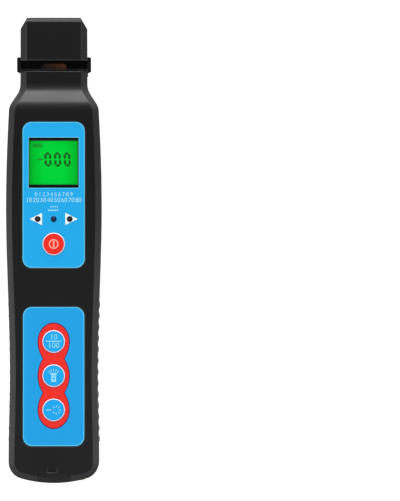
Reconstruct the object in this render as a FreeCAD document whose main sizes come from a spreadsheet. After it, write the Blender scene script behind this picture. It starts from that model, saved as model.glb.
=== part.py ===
"""Hand-held fibre optic identifier with a clamping head, display, keypad, laser port and battery bay.

Millimetres. The instrument lies on its back: X runs across it, +Y along it towards the head, +Z up
through the front face. The origin is the middle of its footprint, on the plane that it rests on.
"""

import FreeCAD, Part
import math
import os

from FreeCAD import Placement, Rotation, Vector

DIMENSIONS = {
    # Casing outline, seen from the front, from the bottom end to the top of the head
    "shoulder_length": 7.8,
    "neck_length": 8.6,
    "slot_height": 5.1,
    "head_height": 20.1,
    "shoulder_width": 41.8,
    "belly_width": 44.7,
    "belly_below_shoulder": 50.4,
    "waist_width": 41.0,
    "waist_below_belly": 78.0,
    "flank_lean": 3.0,
    "heel_width": 42.3,
    "heel_radius": 8.0,
    "sole_radius": 56.0,
    "neck_width": 31.3,
    "hollow_round": 9.5,
    "shoulder_round": 7.5,
    "head_cut_width": 3.1,
    "head_cut_height": 5.3,
    # Casing in side view
    "body_depth": 29.0,
    "face_drop": 6.5,
    "face_slope_start": 0.2,
    "face_slope_run": 8.8,
    "face_slope_round": 9.0,
    "back_drop": 5.0,
    "back_slope_run": 8.0,
    "back_slope_round": 5.0,
    "back_slope_below_shoulder": 16.4,
    "bevel": 2.7,
    "top_bevel": 1.8,
    "back_bevel": 2.0,
    "parting_height": 15.0,
    "face_wall": 2.0,
    "side_wall": 2.6,
    "overlap": 0.2,
    "overshoot": 1.0,
    "spine_depth": 4.0,
    # Grip ribs on the sides of the rear shell
    "grip_start": 18.3,
    "grip_pitch": 5.25,
    "grip_count": 13,
    "grip_fill": 0.8,
    "grip_depth": 0.35,
    "grip_low": 3.5,
    "grip_tall": 9.5,
    # Printed overlays in their recesses
    "recess_depth": 0.6,
    "film_thickness": 0.5,
    "film_gap": 0.1,
    "film_rim_gap": 0.25,
    "panel_radius": 4.5,
    "upper_panel_width": 29.6,
    "upper_panel_gap": 7.1,
    "lower_panel_width": 29.2,
    "panel_spacing": 17.8,
    "lower_panel_start": 17.1,
    # Display
    "window_width": 23.4,
    "window_length": 23.5,
    "window_drop": 7.6,
    "view_width": 22.7,
    "view_length": 20.5,
    "bezel_rim": 1.4,
    "lens_thickness": 1.3,
    "glass_thickness": 1.6,
    "connector_width": 1.5,
    "connector_inset": 1.0,
    # Indicator lamps
    "lamp_spacing": 14.6,
    "lamp_pitch": 7.5,
    "lamp_radius": 1.3,
    "lamp_proud": 0.3,
    "lamp_rim": 0.4,
    "lamp_gap": 0.1,
    # Keys
    "key_radius": 5.3,
    "key_gap": 0.15,
    "key_travel": 0.4,
    "key_flange_gap": 0.1,
    "key_flange_radius": 6.3,
    "key_flange_thickness": 0.7,
    "key_crown": 0.25,
    "key_rim": 0.3,
    "key_stem_radius": 1.5,
    "power_key_spacing": 11.7,
    "power_key_inset": 11.4,
    "first_key_inset": 17.15,
    "last_key_inset": 16.45,
    "key_pitch": 16.0,
    "switch_size": 6.0,
    "switch_tall": 2.8,
    "switch_button_radius": 1.7,
    "switch_button_tall": 0.6,
    "key_rest_gap": 0.05,
    # Circuit board
    "board_width": 26.0,
    "board_start": 14.0,
    "board_end": 25.0,
    "board_thickness": 1.6,
    "board_height": 20.0,
    "board_boss_radius": 2.2,
    "board_boss_spread": 21.0,
    "board_screw_radius": 0.9,
    "board_screw_head_radius": 1.7,
    "board_screw_head_tall": 1.2,
    "board_screw_length": 5.0,
    "board_screw_inset": 5.0,
    "board_screw_spacing": 79.5,
    "processor_size": 10.0,
    "processor_start": 101.5,
    "amplifier_width": 6.0,
    "amplifier_length": 5.0,
    "amplifier_start": 136.5,
    "chip_thickness": 1.6,
    "buzzer_radius": 4.5,
    "buzzer_tall": 4.0,
    "buzzer_place": 121.5,
    # Battery bay
    "bay_start": 40.5,
    "bay_wall": 1.4,
    "bay_ceiling": 1.2,
    "battery_radius": 5.25,
    "battery_length": 43.3,
    "battery_gap": 0.25,
    "battery_nub_radius": 1.9,
    "battery_nub_length": 0.9,
    "contact_space": 3.0,
    "contact_thickness": 0.4,
    "contact_width": 8.0,
    "contact_tall": 7.0,
    "contact_stud_radius": 1.6,
    "cover_groove_width": 14.0,
    "cover_groove": 1.2,
    "cover_groove_depth": 0.6,
    "cover_groove_pitch": 2.4,
    "cover_groove_inset": 6.0,
    "cover_groove_count": 4,
    "cover_ledge": 1.8,
    "cover_thickness": 1.4,
    "cover_gap": 0.2,
    # Clamping jaw and trigger
    "rim_wall": 2.4,
    "head_wall": 2.6,
    "rod_length": 20.0,
    "rod_bury": 1.0,
    "rod_end_gap": 0.5,
    "jaw_front": 21.7,
    "jaw_plate": 0.9,
    "jaw_gap": 0.1,
    "jaw_travel": 3.9,
    "cheek_thickness": 1.6,
    "cheek_gap": 0.1,
    "cheek_rise": 5.7,
    "cheek_fall": 1.95,
    "cheek_cut": 0.85,
    "cheek_round": 0.7,
    "cheek_low": 7.5,
    "cheek_depth": 6.0,
    "stem_width": 15.6,
    "stem_depth": 8.2,
    "stem_length": 16.8,
    "stem_gap": 0.3,
    "stem_thread_depth": 5.0,
    "lug_reach": 5.0,
    "lug_thickness": 2.5,
    "rod_radius": 1.1,
    "rod_spread": 20.8,
    "rod_gap": 0.15,
    "rib_thickness": 2.0,
    "spring_radius": 1.75,
    "spring_wire": 0.28,
    "spring_turns": 4,
    "hump_width": 11.8,
    "hump_height": 2.6,
    "hump_round": 1.6,
    "hump_gap": 0.5,
    "hump_low": 11.0,
    "hump_depth": 8.6,
    "trigger_width": 17.0,
    "trigger_length": 17.0,
    "trigger_reach": 21.3,
    "trigger_low": 0.5,
    "trigger_neck_reach": 16.2,
    "trigger_neck_width": 8.6,
    "trigger_neck_length": 9.0,
    "trigger_gap": 0.2,
    "trigger_groove": 1.0,
    "trigger_groove_inset": 2.3,
    "trigger_groove_count": 5,
    "trigger_groove_drop": 0.4,
    # Detector block in the head
    "detector_width": 19.0,
    "detector_top": 20.0,
    "detector_hollow_depth": 3.0,
    "detector_length": 9.4,
    "detector_gap": 0.15,
    "diode_radius": 2.1,
    "diode_length": 3.0,
    "diode_spread": 6.6,
    # Laser port and dust flap at the bottom end
    "port_start": 2.5,
    "port_wall_start": 2.2,
    "port_wall": 2.8,
    "port_wall_width": 19.0,
    "port_wall_top": 25.0,
    "port_height": 14.0,
    "port_bore_radius": 1.27,
    "port_sleeve_radius": 3.0,
    "port_flange_radius": 4.6,
    "port_flange_thickness": 1.2,
    "port_length": 11.0,
    "laser_radius": 4.0,
    "laser_length": 21.0,
    "flap_width": 15.5,
    "flap_thickness": 2.0,
    "flap_lip": 3.1,
    "flap_lip_depth": 3.4,
    "flap_gap": 0.15,
    "flap_line_start": 2.2,
    "flap_line_width": 10.5,
    "flap_line": 0.3,
    "hinge_height": 4.5,
    "hinge_inset": 2.2,
    "hinge_radius": 1.6,
    "hinge_pin_reach": 1.8,
    "hinge_pin_radius": 0.6,
    "hinge_pin_gap": 0.05,
    "nail_width": 4.4,
    "nail_start": 4.9,
    "nail_offset": 0.6,
    "nail_length": 3.2,
    "nail_depth": 0.9,
    "torch_radius": 2.5,
    "torch_spread": 12.2,
    "torch_start": 1.2,
    "torch_length": 8.0,
    # Screws
    "case_boss_radius": 2.8,
    "case_post_radius": 2.4,
    "case_boss_spread": 31.0,
    "case_screw_low": 14.0,
    "case_screw_drop": 26.4,
    "screw_radius": 1.2,
    "screw_head_radius": 2.2,
    "screw_head_tall": 1.4,
    "screw_gap": 0.1,
    "screw_slot": 0.5,
    "screw_slot_depth": 0.6,
    "screw_slot_reach": 1.5,
    "case_screw_seat": 3.0,
    "case_screw_bite": 6.0,
    "trigger_screw_seat": 2.6,
    "trigger_screw_length": 11.0,
    "head_screw_length": 9.0,
    "head_screw_seat": 1.8,
    "head_screw_spread": 20.4,
    "head_screw_drop": 6.8,
}

# Lengths that add up from those above: the panels from what they carry, and the body from its panels
SUMS = {
    "lamp_drop": "window_drop + window_length + lamp_spacing",
    "power_key_drop": "lamp_drop + power_key_spacing",
    "upper_panel_length": "power_key_drop + power_key_inset",
    "lower_panel_length": "first_key_inset + 2 * key_pitch + last_key_inset",
    "panels_length": "lower_panel_length + panel_spacing + upper_panel_length",
    "body_length": "lower_panel_start + panels_length + upper_panel_gap",
    "rim_station": "body_length + shoulder_length + neck_length",
    "head_station": "rim_station + slot_height",
    "total_length": "head_station + head_height",
}

doc = FreeCAD.newDocument("fibre_identifier")
sizes = doc.addObject("Spreadsheet::Sheet", "sizes")
for row, (alias, content) in enumerate({**DIMENSIONS, **SUMS}.items(), start=1):
    sizes.set(f"A{row}", alias.replace("_", " "))
    sizes.set(f"B{row}", f"={content}" if alias in SUMS else str(content))
    sizes.setAlias(f"B{row}", alias)
doc.recompute()

NODES = []


def size(alias):
    """The number that the sheet holds under an alias."""
    return float(sizes.get(alias))


def cells(text):
    """An expression in which each word that is an alias becomes a reference to its cell."""
    words = []
    for word in text.replace("(", " ( ").replace(")", " ) ").split():
        words.append(f"sizes.{word}" if word in DIMENSIONS or word in SUMS else word)
    return " ".join(words)


# Places along the length, counted from the bottom end, and the half length that moves them to the origin
RIM = "rim_station"
JAW_TOP = "(rim_station + jaw_gap + jaw_plate)"
HEAD = "head_station"
TOTAL = "total_length"
MIDDLE = "(total_length / 2)"
# Cutters through the face: they start at the board's level and end above the face
FACE_CUT_LOW = "board_height"
FACE_CUT_TALL = "(body_depth - board_height + overshoot)"
# A zone wider and longer than the casing
CLEAR_WIDTH = "(belly_width + 10)"
CLEAR_LENGTH = "(total_length + 10)"
# Heights above the resting plane
NECK_FRONT = "(body_depth - face_drop)"
SPINE_FRONT = "(back_drop + spine_depth)"
RECESS_FLOOR = "(body_depth - recess_depth)"
CEILING = "(body_depth - face_wall)"
BOARD_TOP = "(board_height + board_thickness)"
# Places of the panel features
UPPER_PANEL_TOP = "(body_length - upper_panel_gap)"
UPPER_PANEL_START = f"({UPPER_PANEL_TOP} - upper_panel_length)"
WINDOW_START = f"({UPPER_PANEL_TOP} - window_drop - window_length)"


def bind(thing, prop, text):
    """Ties a property to an expression of the sheet's cells."""
    thing.setExpression(prop, cells(str(text)))
    return thing


def put(thing, x="0", y="0", z="0"):
    """Ties a thing's place to the sheet, with y counted from the bottom end."""
    bind(thing, "Placement.Base.x", x)
    bind(thing, "Placement.Base.y", f"{y} - {MIDDLE}")
    bind(thing, "Placement.Base.z", z)
    return thing


def box(name, x, y, z, wide, long, tall):
    """A block from its lowest corner; x is left out where it stands centred on the middle line."""
    block = doc.addObject("Part::Box", name)
    bind(block, "Length", wide)
    bind(block, "Width", long)
    bind(block, "Height", tall)
    return put(block, f"0 - ({wide}) / 2" if x is None else x, y, z)


def pillar(name, x, y, z, radius, tall):
    """A cylinder that stands along Z."""
    post = doc.addObject("Part::Cylinder", name)
    bind(post, "Radius", radius)
    bind(post, "Height", tall)
    return put(post, x, y, z)


def barrel(name, x, y, z, radius, long):
    """A cylinder that lies along +Y."""
    tube = doc.addObject("Part::Cylinder", name)
    tube.Placement = Placement(Vector(), Rotation(Vector(1, 0, 0), -90))
    bind(tube, "Radius", radius)
    bind(tube, "Height", long)
    return put(tube, x, y, z)


def crossbar(name, x, y, z, radius, wide):
    """A cylinder that lies along +X."""
    bar = doc.addObject("Part::Cylinder", name)
    bar.Placement = Placement(Vector(), Rotation(Vector(0, 1, 0), 90))
    bind(bar, "Radius", radius)
    bind(bar, "Height", wide)
    return put(bar, x, y, z)


def fused(name, *shapes):
    """One solid of several."""
    joined = doc.addObject("Part::MultiFuse", name)
    joined.Shapes = list(shapes)
    joined.Refine = True
    return joined


def cut(name, base, *tools):
    """A base with every tool taken away."""
    result = doc.addObject("Part::Cut", name)
    result.Base = base
    result.Tool = tools[0] if len(tools) == 1 else fused(name + "_tools", *tools)
    result.Refine = True
    return result


def common(name, first, second):
    """What two solids share."""
    result = doc.addObject("Part::Common", name)
    result.Base = first
    result.Tool = second
    result.Refine = True
    return result


def node(thing, label):
    """Marks a thing as one sub-part of the instrument."""
    thing.Label = label
    NODES.append(thing)
    return thing


def body(name):
    return doc.addObject("PartDesign::Body", name)


def sketch(owner, name, role, offset="0"):
    """A sketch on one of a body's origin planes, moved along its normal."""
    drawing = owner.newObject("Sketcher::SketchObject", name)
    plane = next(f for f in owner.Origin.OriginFeatures if f.Role == role)
    drawing.AttachmentSupport = [(plane, "")]
    drawing.MapMode = "FlatFace"
    bind(drawing, "AttachmentOffset.Base.z", offset)
    return drawing


def pad(owner, drawing, length, midplane=False):
    feature = owner.newObject("PartDesign::Pad", drawing.Name + "_pad")
    feature.Profile = drawing
    feature.Midplane = midplane
    bind(feature, "Length", length)
    drawing.Visibility = False
    return feature


def pocket_through(owner, drawing):
    """A pocket right through the solid, both ways from its sketch."""
    feature = owner.newObject("PartDesign::Pocket", drawing.Name + "_pocket")
    feature.Profile = drawing
    feature.Type = "ThroughAll"
    feature.Midplane = True
    return feature


def rounded(points, radii):
    """Lines and arcs round a closed polygon, each corner rounded by its radius."""
    count = len(points)
    starts, ends, arcs = [], [], []
    for i in range(count):
        corner, radius = points[i], radii[i]
        before = (points[i - 1] - corner).normalize()
        after = (points[(i + 1) % count] - corner).normalize()
        if not radius:
            starts.append(corner)
            ends.append(corner)
            arcs.append(None)
            continue
        half = before.getAngle(after) / 2
        reach = radius / math.tan(half)
        bisector = (before + after).normalize()
        middle = corner + bisector * (radius / math.sin(half) - radius)
        starts.append(corner + before * reach)
        ends.append(corner + after * reach)
        arcs.append(middle)
    edges = []
    for i in range(count):
        if arcs[i]:
            edges.append(Part.Arc(starts[i], arcs[i], ends[i]))
        if (starts[(i + 1) % count] - ends[i]).Length > 1e-6:
            edges.append(Part.LineSegment(ends[i], starts[(i + 1) % count]))
    return edges


def half_length():
    """Half of the overall length."""
    return size("total_length") / 2


def set_in(corner, before, after, inset):
    """A corner of the right-hand outline, moved in with the two lines that meet in it."""
    normals = [Vector(-way.y, way.x, 0) for way in (before, after)]
    return corner - (normals[0] + normals[1]) * (inset / (1 + normals[0].dot(normals[1])))


def turning(corner, before, after, radius):
    """Start, middle and end of the arc that rounds the corner between two directions."""
    half = before.getAngle(after) / 2
    reach = radius * math.tan(half)
    bulge = radius * (1 / math.cos(half) - 1)
    return corner - before * reach, corner + (after - before).normalize() * bulge, corner + after * reach


def casing_outline(inset=0.0):
    """Plan outline of the casing, set in by a distance: head, neck, shoulders, belly, waist and heel."""
    half = half_length()
    down = Vector(0, -1, 0)
    lean = math.radians(size("flank_lean"))
    flank_way = Vector(math.sin(lean), -math.cos(lean), 0)

    # Neck and shoulder: a slanting line with a hollow arc above it and a full arc below it
    neck_corner = Vector(size("neck_width") / 2, size("body_length") + size("shoulder_length") - half, 0)
    shoulder_corner = Vector(size("shoulder_width") / 2, size("body_length") - half, 0)
    slant = (shoulder_corner - neck_corner).normalize()
    neck_corner = set_in(neck_corner, down, slant, inset)
    shoulder_corner = set_in(shoulder_corner, slant, flank_way, inset)
    hollow = turning(neck_corner, down, slant, size("hollow_round") + inset)
    full = turning(shoulder_corner, slant, flank_way, size("shoulder_round") - inset)
    # Heel: a small arc that runs smoothly into the wide arc of the sole
    heel_r, sole_r = size("heel_radius") - inset, size("sole_radius") - inset
    heel_centre = Vector(size("heel_width") / 2 - size("heel_radius"), 0, 0)
    sole_centre = Vector(0, sole_r + inset - half, 0)
    heel_centre.y = sole_centre.y - math.sqrt((sole_r - heel_r) ** 2 - heel_centre.x ** 2)
    outward = (heel_centre - sole_centre).normalize()
    heel_middle = heel_centre + (Vector(1, 0, 0) + outward).normalize() * heel_r
    heel = (heel_centre + Vector(heel_r, 0, 0), heel_middle, heel_centre + outward * heel_r)
    # Flank: full at the belly, narrow at the waist
    belly_y = size("body_length") - size("belly_below_shoulder") - half
    waist_y = belly_y - size("waist_below_belly")
    belly = Vector(size("belly_width") / 2 - inset, belly_y, 0)
    waist = Vector(size("waist_width") / 2 - inset, waist_y, 0)
    corner = Vector(neck_corner.x, half - inset, 0)

    edges = [
        Part.LineSegment(Vector(-corner.x, corner.y, 0), corner),
        Part.Arc(heel[2], Vector(0, inset - half, 0), Vector(-heel[2].x, heel[2].y, 0)),
    ]
    for sign in (1, -1):
        def side(point):
            return Vector(point.x * sign, point.y, 0)

        flank = Part.BSplineCurve()
        places = [side(full[2]), side(belly), side(waist), side(heel[0])]
        flank.interpolate(Points=places, InitialTangent=side(flank_way), FinalTangent=down)
        edges += [
            Part.LineSegment(side(corner), side(hollow[0])),
            Part.Arc(*[side(point) for point in hollow]),
            Part.LineSegment(side(hollow[2]), side(full[0])),
            Part.Arc(*[side(point) for point in full]),
            flank,
            Part.Arc(*[side(point) for point in heel]),
        ]
    return edges


def cut_head_corners(owner, inset):
    """Upright cuts across the two top corners of the head, set in by a distance."""
    drawing = sketch(owner, owner.Name + "_corners", "XY_Plane")
    wide, tall = size("head_cut_width"), size("head_cut_height")
    way = Vector(wide, -tall, 0).normalize()
    side_x, top_y = size("neck_width") / 2, half_length()
    start = Vector(side_x - wide, top_y, 0) + Vector(way.y, -way.x, 0) * inset
    outer = Vector(side_x + tall, top_y + wide, 0)
    for sign in (1, -1):
        corners = [start - way * tall, start + way * (2.5 * tall), outer + way * tall, outer - way * tall]
        corners = [Vector(point.x * sign, point.y, 0) for point in corners]
        drawing.addGeometry(rounded(corners, [0] * 4))
    pocket_through(owner, drawing)


def casing_block(name, low, high, inset, skin):
    """The casing's outline padded up and cut by its side profile, all set in by the given walls."""
    owner = body(name)
    outline = sketch(owner, name + "_outline", "XY_Plane", low)
    outline.addGeometry(casing_outline(inset))
    pad(owner, outline, f"{high} - {low}")
    clear = 10
    half = half_length()
    far = half + clear

    # Front: the slope from the body down to the neck
    drop, run = size("face_drop"), size("face_slope_run")
    shift = skin * math.tan(math.atan2(drop, run) / 2)
    start = size("body_length") + size("face_slope_start") - half - shift
    top = size("body_depth") - skin
    front = sketch(owner, name + "_front", "YZ_Plane")
    corners = [(start - clear, top), (start, top), (start + run, top - drop), (far, top - drop)]
    corners += [(far, top + clear), (start - clear, top + clear)]
    blend = size("face_slope_round")
    radii = [0, blend - skin, blend + skin, 0, 0, 0]
    front.addGeometry(rounded([Vector(y, z, 0) for y, z in corners], radii))
    pocket_through(owner, front)

    # Back: the slope up to the recess where the trigger runs
    drop, run = size("back_drop"), size("back_slope_run")
    shift = skin * math.tan(math.atan2(drop, run) / 2)
    start = size("body_length") - size("back_slope_below_shoulder") - half - shift
    back = sketch(owner, name + "_back", "YZ_Plane")
    corners = [(start - clear, skin), (start, skin), (start + run, drop + skin), (far, drop + skin)]
    corners += [(far, skin - clear), (start - clear, skin - clear)]
    blend = size("back_slope_round")
    radii = [0, blend - skin, blend + skin, 0, 0, 0]
    back.addGeometry(rounded([Vector(y, z, 0) for y, z in corners], radii))
    pocket_through(owner, back)
    return owner


def rim_edges(shape, sign, wanted):
    """Names of the edges between a face that looks up (or down) and an upright side face."""
    names = []
    for index, edge in enumerate(shape.Edges, start=1):
        faces = shape.ancestorsOfType(edge, Part.Face)
        middle = edge.valueAt((edge.FirstParameter + edge.LastParameter) / 2)
        tilts = sorted(face.normalAt(*face.Surface.parameter(middle)).z * sign for face in faces)
        if len(tilts) == 2 and abs(tilts[0]) < 0.1 and tilts[1] > 0.3 and wanted(middle):
            names.append(f"Edge{index}")
    return names


def dressed(owner, kind, prop, amount, sign, wanted):
    """A chamfer or fillet along chosen rim edges of a body."""
    doc.recompute()
    last = owner.Tip
    feature = owner.newObject("PartDesign::" + kind, f"{owner.Name}_{kind.lower()}_{len(owner.Group)}")
    feature.Base = (last, rim_edges(last.Shape, sign, wanted))
    bind(feature, prop, amount)
    return feature


casing = casing_block("casing", "0", "body_depth", 0.0, 0.0)
dressed(casing, "Chamfer", "Size", "bevel", 1, lambda point: point.y < half_length() - 0.1)
dressed(casing, "Chamfer", "Size", "top_bevel", 1, lambda point: point.y > half_length() - 0.1)
dressed(casing, "Chamfer", "Size", "back_bevel", -1, lambda point: True)
cut_head_corners(casing, 0.0)
cavity = casing_block("cavity", "face_wall", CEILING, size("side_wall"), size("face_wall"))

# Heights and places that several pieces share
CAVITY_TOP = f"({RIM} - rim_wall)"
ROD_START = f"({RIM} - rod_bury - rod_length)"
TRIGGER_START = f"({RIM} - trigger_reach)"
TRIGGER_NECK_START = f"({RIM} - trigger_neck_reach)"
STEM_LOW = "(parting_height - stem_depth / 2)"
PORT_WALL_TOP = "(port_wall_start + port_wall)"
HINGE_Y = "hinge_inset"
FIRST_KEY = "(lower_panel_start + first_key_inset)"
KEYS = {
    "power": f"({UPPER_PANEL_TOP} - power_key_drop)",
    "unit": f"({FIRST_KEY} + 2 * key_pitch)",
    "lamp": f"({FIRST_KEY} + key_pitch)",
    "laser": FIRST_KEY,
}
LAMP_Y = f"({UPPER_PANEL_TOP} - lamp_drop)"
KEY_HOLE = "(key_radius + key_gap)"
LAMP_HOLE = "(lamp_radius + lamp_gap)"
LAMPS = {"left": "(0 - lamp_pitch)", "middle": "0", "right": "lamp_pitch"}
CASE_SCREWS = [
    (f"({sign} * case_boss_spread / 2)", station)
    for sign in (-1, 1)
    for station in ("case_screw_low", "(body_length - case_screw_drop)")
]
HEAD_SCREWS = [(f"({sign} * head_screw_spread / 2)", f"({TOTAL} - head_screw_drop)") for sign in (-1, 1)]
BOARD_SCREWS = [
    (f"({sign} * board_boss_spread / 2)", f"(board_start + {station})")
    for sign in (-1, 1)
    for station in ("board_screw_inset", "(board_screw_inset + board_screw_spacing)")
]
SCREW_PASS = "(screw_radius + screw_gap)"
SCREW_SINK = "(screw_head_radius + screw_gap)"
BATTERY_PITCH = "(2 * battery_radius + battery_gap)"
BAY_WIDTH = f"(3 * {BATTERY_PITCH} + battery_gap)"
BAY_LENGTH = "(battery_length + battery_nub_length + 2 * contact_space)"
BATTERY_Z = "(cover_thickness + 2 * battery_gap + battery_radius)"
BAY_TOP = f"({BATTERY_Z} + battery_radius + battery_gap)"


# Pockets that the dust flap and its hinge need in both shells
def flap_space(name, gap):
    high = f"(body_depth + {gap})"
    plate = box(
        name + "_plate", None, "0 - overshoot", "hinge_height", f"(flap_width + 2 * {gap})",
        f"(overshoot + flap_thickness + {gap})", f"({high} - hinge_height)",
    )
    lip = box(
        name + "_lip", None, "0 - overshoot", f"(body_depth - flap_lip_depth - {gap})",
        f"(flap_width + 2 * {gap})", f"(overshoot + flap_lip + {gap})", f"(flap_lip_depth + 2 * {gap})",
    )
    return fused(name, plate, lip)


flap_pocket = fused(
    "flap_pocket",
    flap_space("flap_room", "flap_gap"),
    crossbar(
        "hinge_room", "(0 - flap_width / 2 - flap_gap)", HINGE_Y, "hinge_height", "(hinge_inset + flap_gap)",
        "(flap_width + 2 * flap_gap)",
    ),
    box(
        "swing_room", None, "0 - overshoot", "(hinge_height - hinge_inset - flap_gap)",
        "(flap_width + 2 * flap_gap)", "(overshoot + hinge_inset)", "(hinge_inset + flap_gap + overshoot)",
    ),
)
hinge_hole = crossbar(
    "hinge_hole", "(0 - flap_width / 2 - hinge_pin_reach)", HINGE_Y, "hinge_height", "hinge_pin_radius",
    "(flap_width + 2 * hinge_pin_reach)",
)
port_hole = barrel("port_hole", "0", "0", "port_height", "port_sleeve_radius", "port_length")
torch_hole = barrel("torch_hole", "torch_spread", "0", "port_height", "torch_radius", "torch_length")
stem_hole = box(
    "stem_hole", None, f"({CAVITY_TOP} - overshoot)", f"({STEM_LOW} - stem_gap)",
    "(stem_width + 2 * stem_gap)", "(rim_wall + 2 * overshoot)", "(stem_depth + 2 * stem_gap)",
)
rod_holes = [
    barrel(
        f"rod_hole_{sign + 1}", f"({sign} * rod_spread / 2)", f"({ROD_START} - rod_end_gap)",
        "parting_height", "rod_radius", "(rod_length + rod_end_gap)",
    )
    for sign in (-1, 1)
]

# Front shell: the bevelled face down to the parting plane, as far as the rim below the slot
front_zone = box(
    "front_zone", None, "0 - overshoot", "parting_height", CLEAR_WIDTH, f"({RIM} + overshoot)", "body_depth",
)
front_hollow = common(
    "front_hollow", cavity,
    box(
        "front_room", None, "0 - overshoot", "(parting_height - overshoot)", CLEAR_WIDTH,
        f"({CAVITY_TOP} + overshoot)", "body_depth",
    ),
)
front_case = cut("front_case", common("front_blank", casing, front_zone), front_hollow)
front_ribs = [
    box(
        "front_port_wall", None, "port_wall_start", "parting_height", "port_wall_width", "port_wall",
        "(port_wall_top - parting_height)",
    ),
    box(
        "front_rod_rib", None, ROD_START, "parting_height", "(neck_width - side_wall)", "rib_thickness",
        f"({CEILING} - parting_height + overlap)",
    ),
]
post_tall = f"({CEILING} - parting_height + overlap)"
for i, (x, y) in enumerate(CASE_SCREWS):
    front_ribs.append(pillar(f"case_post_{i}", x, y, "parting_height", "case_post_radius", post_tall))
board_post_tall = f"({CEILING} - {BOARD_TOP} + overlap)"
for i, (x, y) in enumerate(BOARD_SCREWS):
    front_ribs.append(pillar(f"board_post_{i}", x, y, BOARD_TOP, "board_boss_radius", board_post_tall))
front_solid = fused("front_solid", front_case, *front_ribs)


def panel(name, start, width, long, inset, low, tall):
    """A round-cornered slab for an overlay or its recess."""
    slab = body(name)
    drawing = sketch(slab, name + "_outline", "XY_Plane", low)
    half_w = size(width) / 2 - inset
    y0 = start + inset - half_length()
    y1 = start + size(long) - inset - half_length()
    corners = [Vector(half_w, y0, 0), Vector(half_w, y1, 0), Vector(-half_w, y1, 0), Vector(-half_w, y0, 0)]
    drawing.addGeometry(rounded(corners, [size("panel_radius") - inset] * 4))
    pad(slab, drawing, tall)
    return slab


scoop = body("scoop")
drawing = sketch(scoop, "scoop_side", "YZ_Plane", "0 - nail_offset")
deep_y, face_z = size("nail_start") - half_length(), size("body_depth")
above_z, end_y = face_z + size("overshoot"), deep_y + size("nail_length")
corners = [(deep_y, face_z - size("nail_depth")), (end_y, face_z), (end_y, above_z), (deep_y, above_z)]
drawing.addGeometry(rounded([Vector(y, z, 0) for y, z in corners], [0] * 4))
pad(scoop, drawing, "nail_width", midplane=True)

upper_start = size("body_length") - size("upper_panel_gap") - size("upper_panel_length")
lower_start = size("lower_panel_start")
recess_tall = "(recess_depth + overshoot)"
upper_recess = panel(
    "upper_recess", upper_start, "upper_panel_width", "upper_panel_length", 0, RECESS_FLOOR, recess_tall,
)
lower_recess = panel(
    "lower_recess", lower_start, "lower_panel_width", "lower_panel_length", 0, RECESS_FLOOR, recess_tall,
)
front_cuts = [
    upper_recess,
    lower_recess,
    box(
        "lens_recess", None, WINDOW_START, "(body_depth - lens_thickness)", "window_width",
        "window_length", "(lens_thickness + overshoot)",
    ),
    box(
        "view_opening", None, f"({WINDOW_START} + (window_length - view_length) / 2)", FACE_CUT_LOW,
        "view_width", "view_length", FACE_CUT_TALL,
    ),
    scoop, flap_pocket, port_hole, torch_hole, stem_hole, *rod_holes,
]
for name, y in KEYS.items():
    front_cuts.append(pillar(f"{name}_key_hole", "0", y, FACE_CUT_LOW, KEY_HOLE, FACE_CUT_TALL))
for name, x in LAMPS.items():
    front_cuts.append(pillar(f"{name}_lamp_hole", x, LAMP_Y, FACE_CUT_LOW, LAMP_HOLE, FACE_CUT_TALL))
for i, (x, y) in enumerate(CASE_SCREWS):
    thread_low, thread_tall = "(parting_height - overshoot)", "(case_screw_bite + 2 * overshoot)"
    front_cuts.append(pillar(f"case_thread_{i}", x, y, thread_low, "screw_radius", thread_tall))
for i, (x, y) in enumerate(BOARD_SCREWS):
    thread_tall = "(board_screw_length + overlap)"
    front_cuts.append(pillar(f"board_thread_{i}", x, y, "board_height", "board_screw_radius", thread_tall))
node(cut("front_shell", front_solid, *front_cuts), "front_shell")

# Rear shell: the back half with the spine behind the slot, the battery bay and the grip ribs
rear_hollow = common(
    "rear_hollow", cavity,
    box(
        "rear_room", None, "0 - overshoot", "0", CLEAR_WIDTH, f"({CAVITY_TOP} + overshoot)",
        "(parting_height + overshoot)",
    ),
)
rear_blank = cut(
    "rear_blank", casing,
    box("above_parting", None, "0 - overshoot", "parting_height", CLEAR_WIDTH, CLEAR_LENGTH, "body_depth"),
    box("above_spine", None, RIM, SPINE_FRONT, CLEAR_WIDTH, CLEAR_LENGTH, "body_depth"),
)


def grip_comb(name, sign):
    """Low round grip ribs along one side."""
    comb = body(name)
    drawing = sketch(comb, name + "_ribs", "XY_Plane", "grip_low")
    flank = next(edge for edge in casing_outline() if isinstance(edge, Part.BSplineCurve))
    depth, pitch = size("grip_depth"), size("grip_pitch")

    def on_flank(station, out):
        y = station - half_length()
        nearest = flank.parameter(Vector(size("waist_width") / 2, y, 0))
        return Vector((flank.value(nearest).x + out) * sign, y, 0)

    for i in range(int(size("grip_count"))):
        first = size("grip_start") + i * pitch
        last = first + pitch * size("grip_fill")
        root = [on_flank(first, -depth / 2), on_flank(last, -depth / 2)]
        buried = [on_flank(first, -size("side_wall") / 2), on_flank(last, -size("side_wall") / 2)]
        drawing.addGeometry([
            Part.Arc(root[0], on_flank((first + last) / 2, depth), root[1]),
            Part.LineSegment(root[1], buried[1]),
            Part.LineSegment(buried[1], buried[0]),
            Part.LineSegment(buried[0], root[0]),
        ])
    pad(comb, drawing, "(grip_tall - grip_low)")
    return comb


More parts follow.
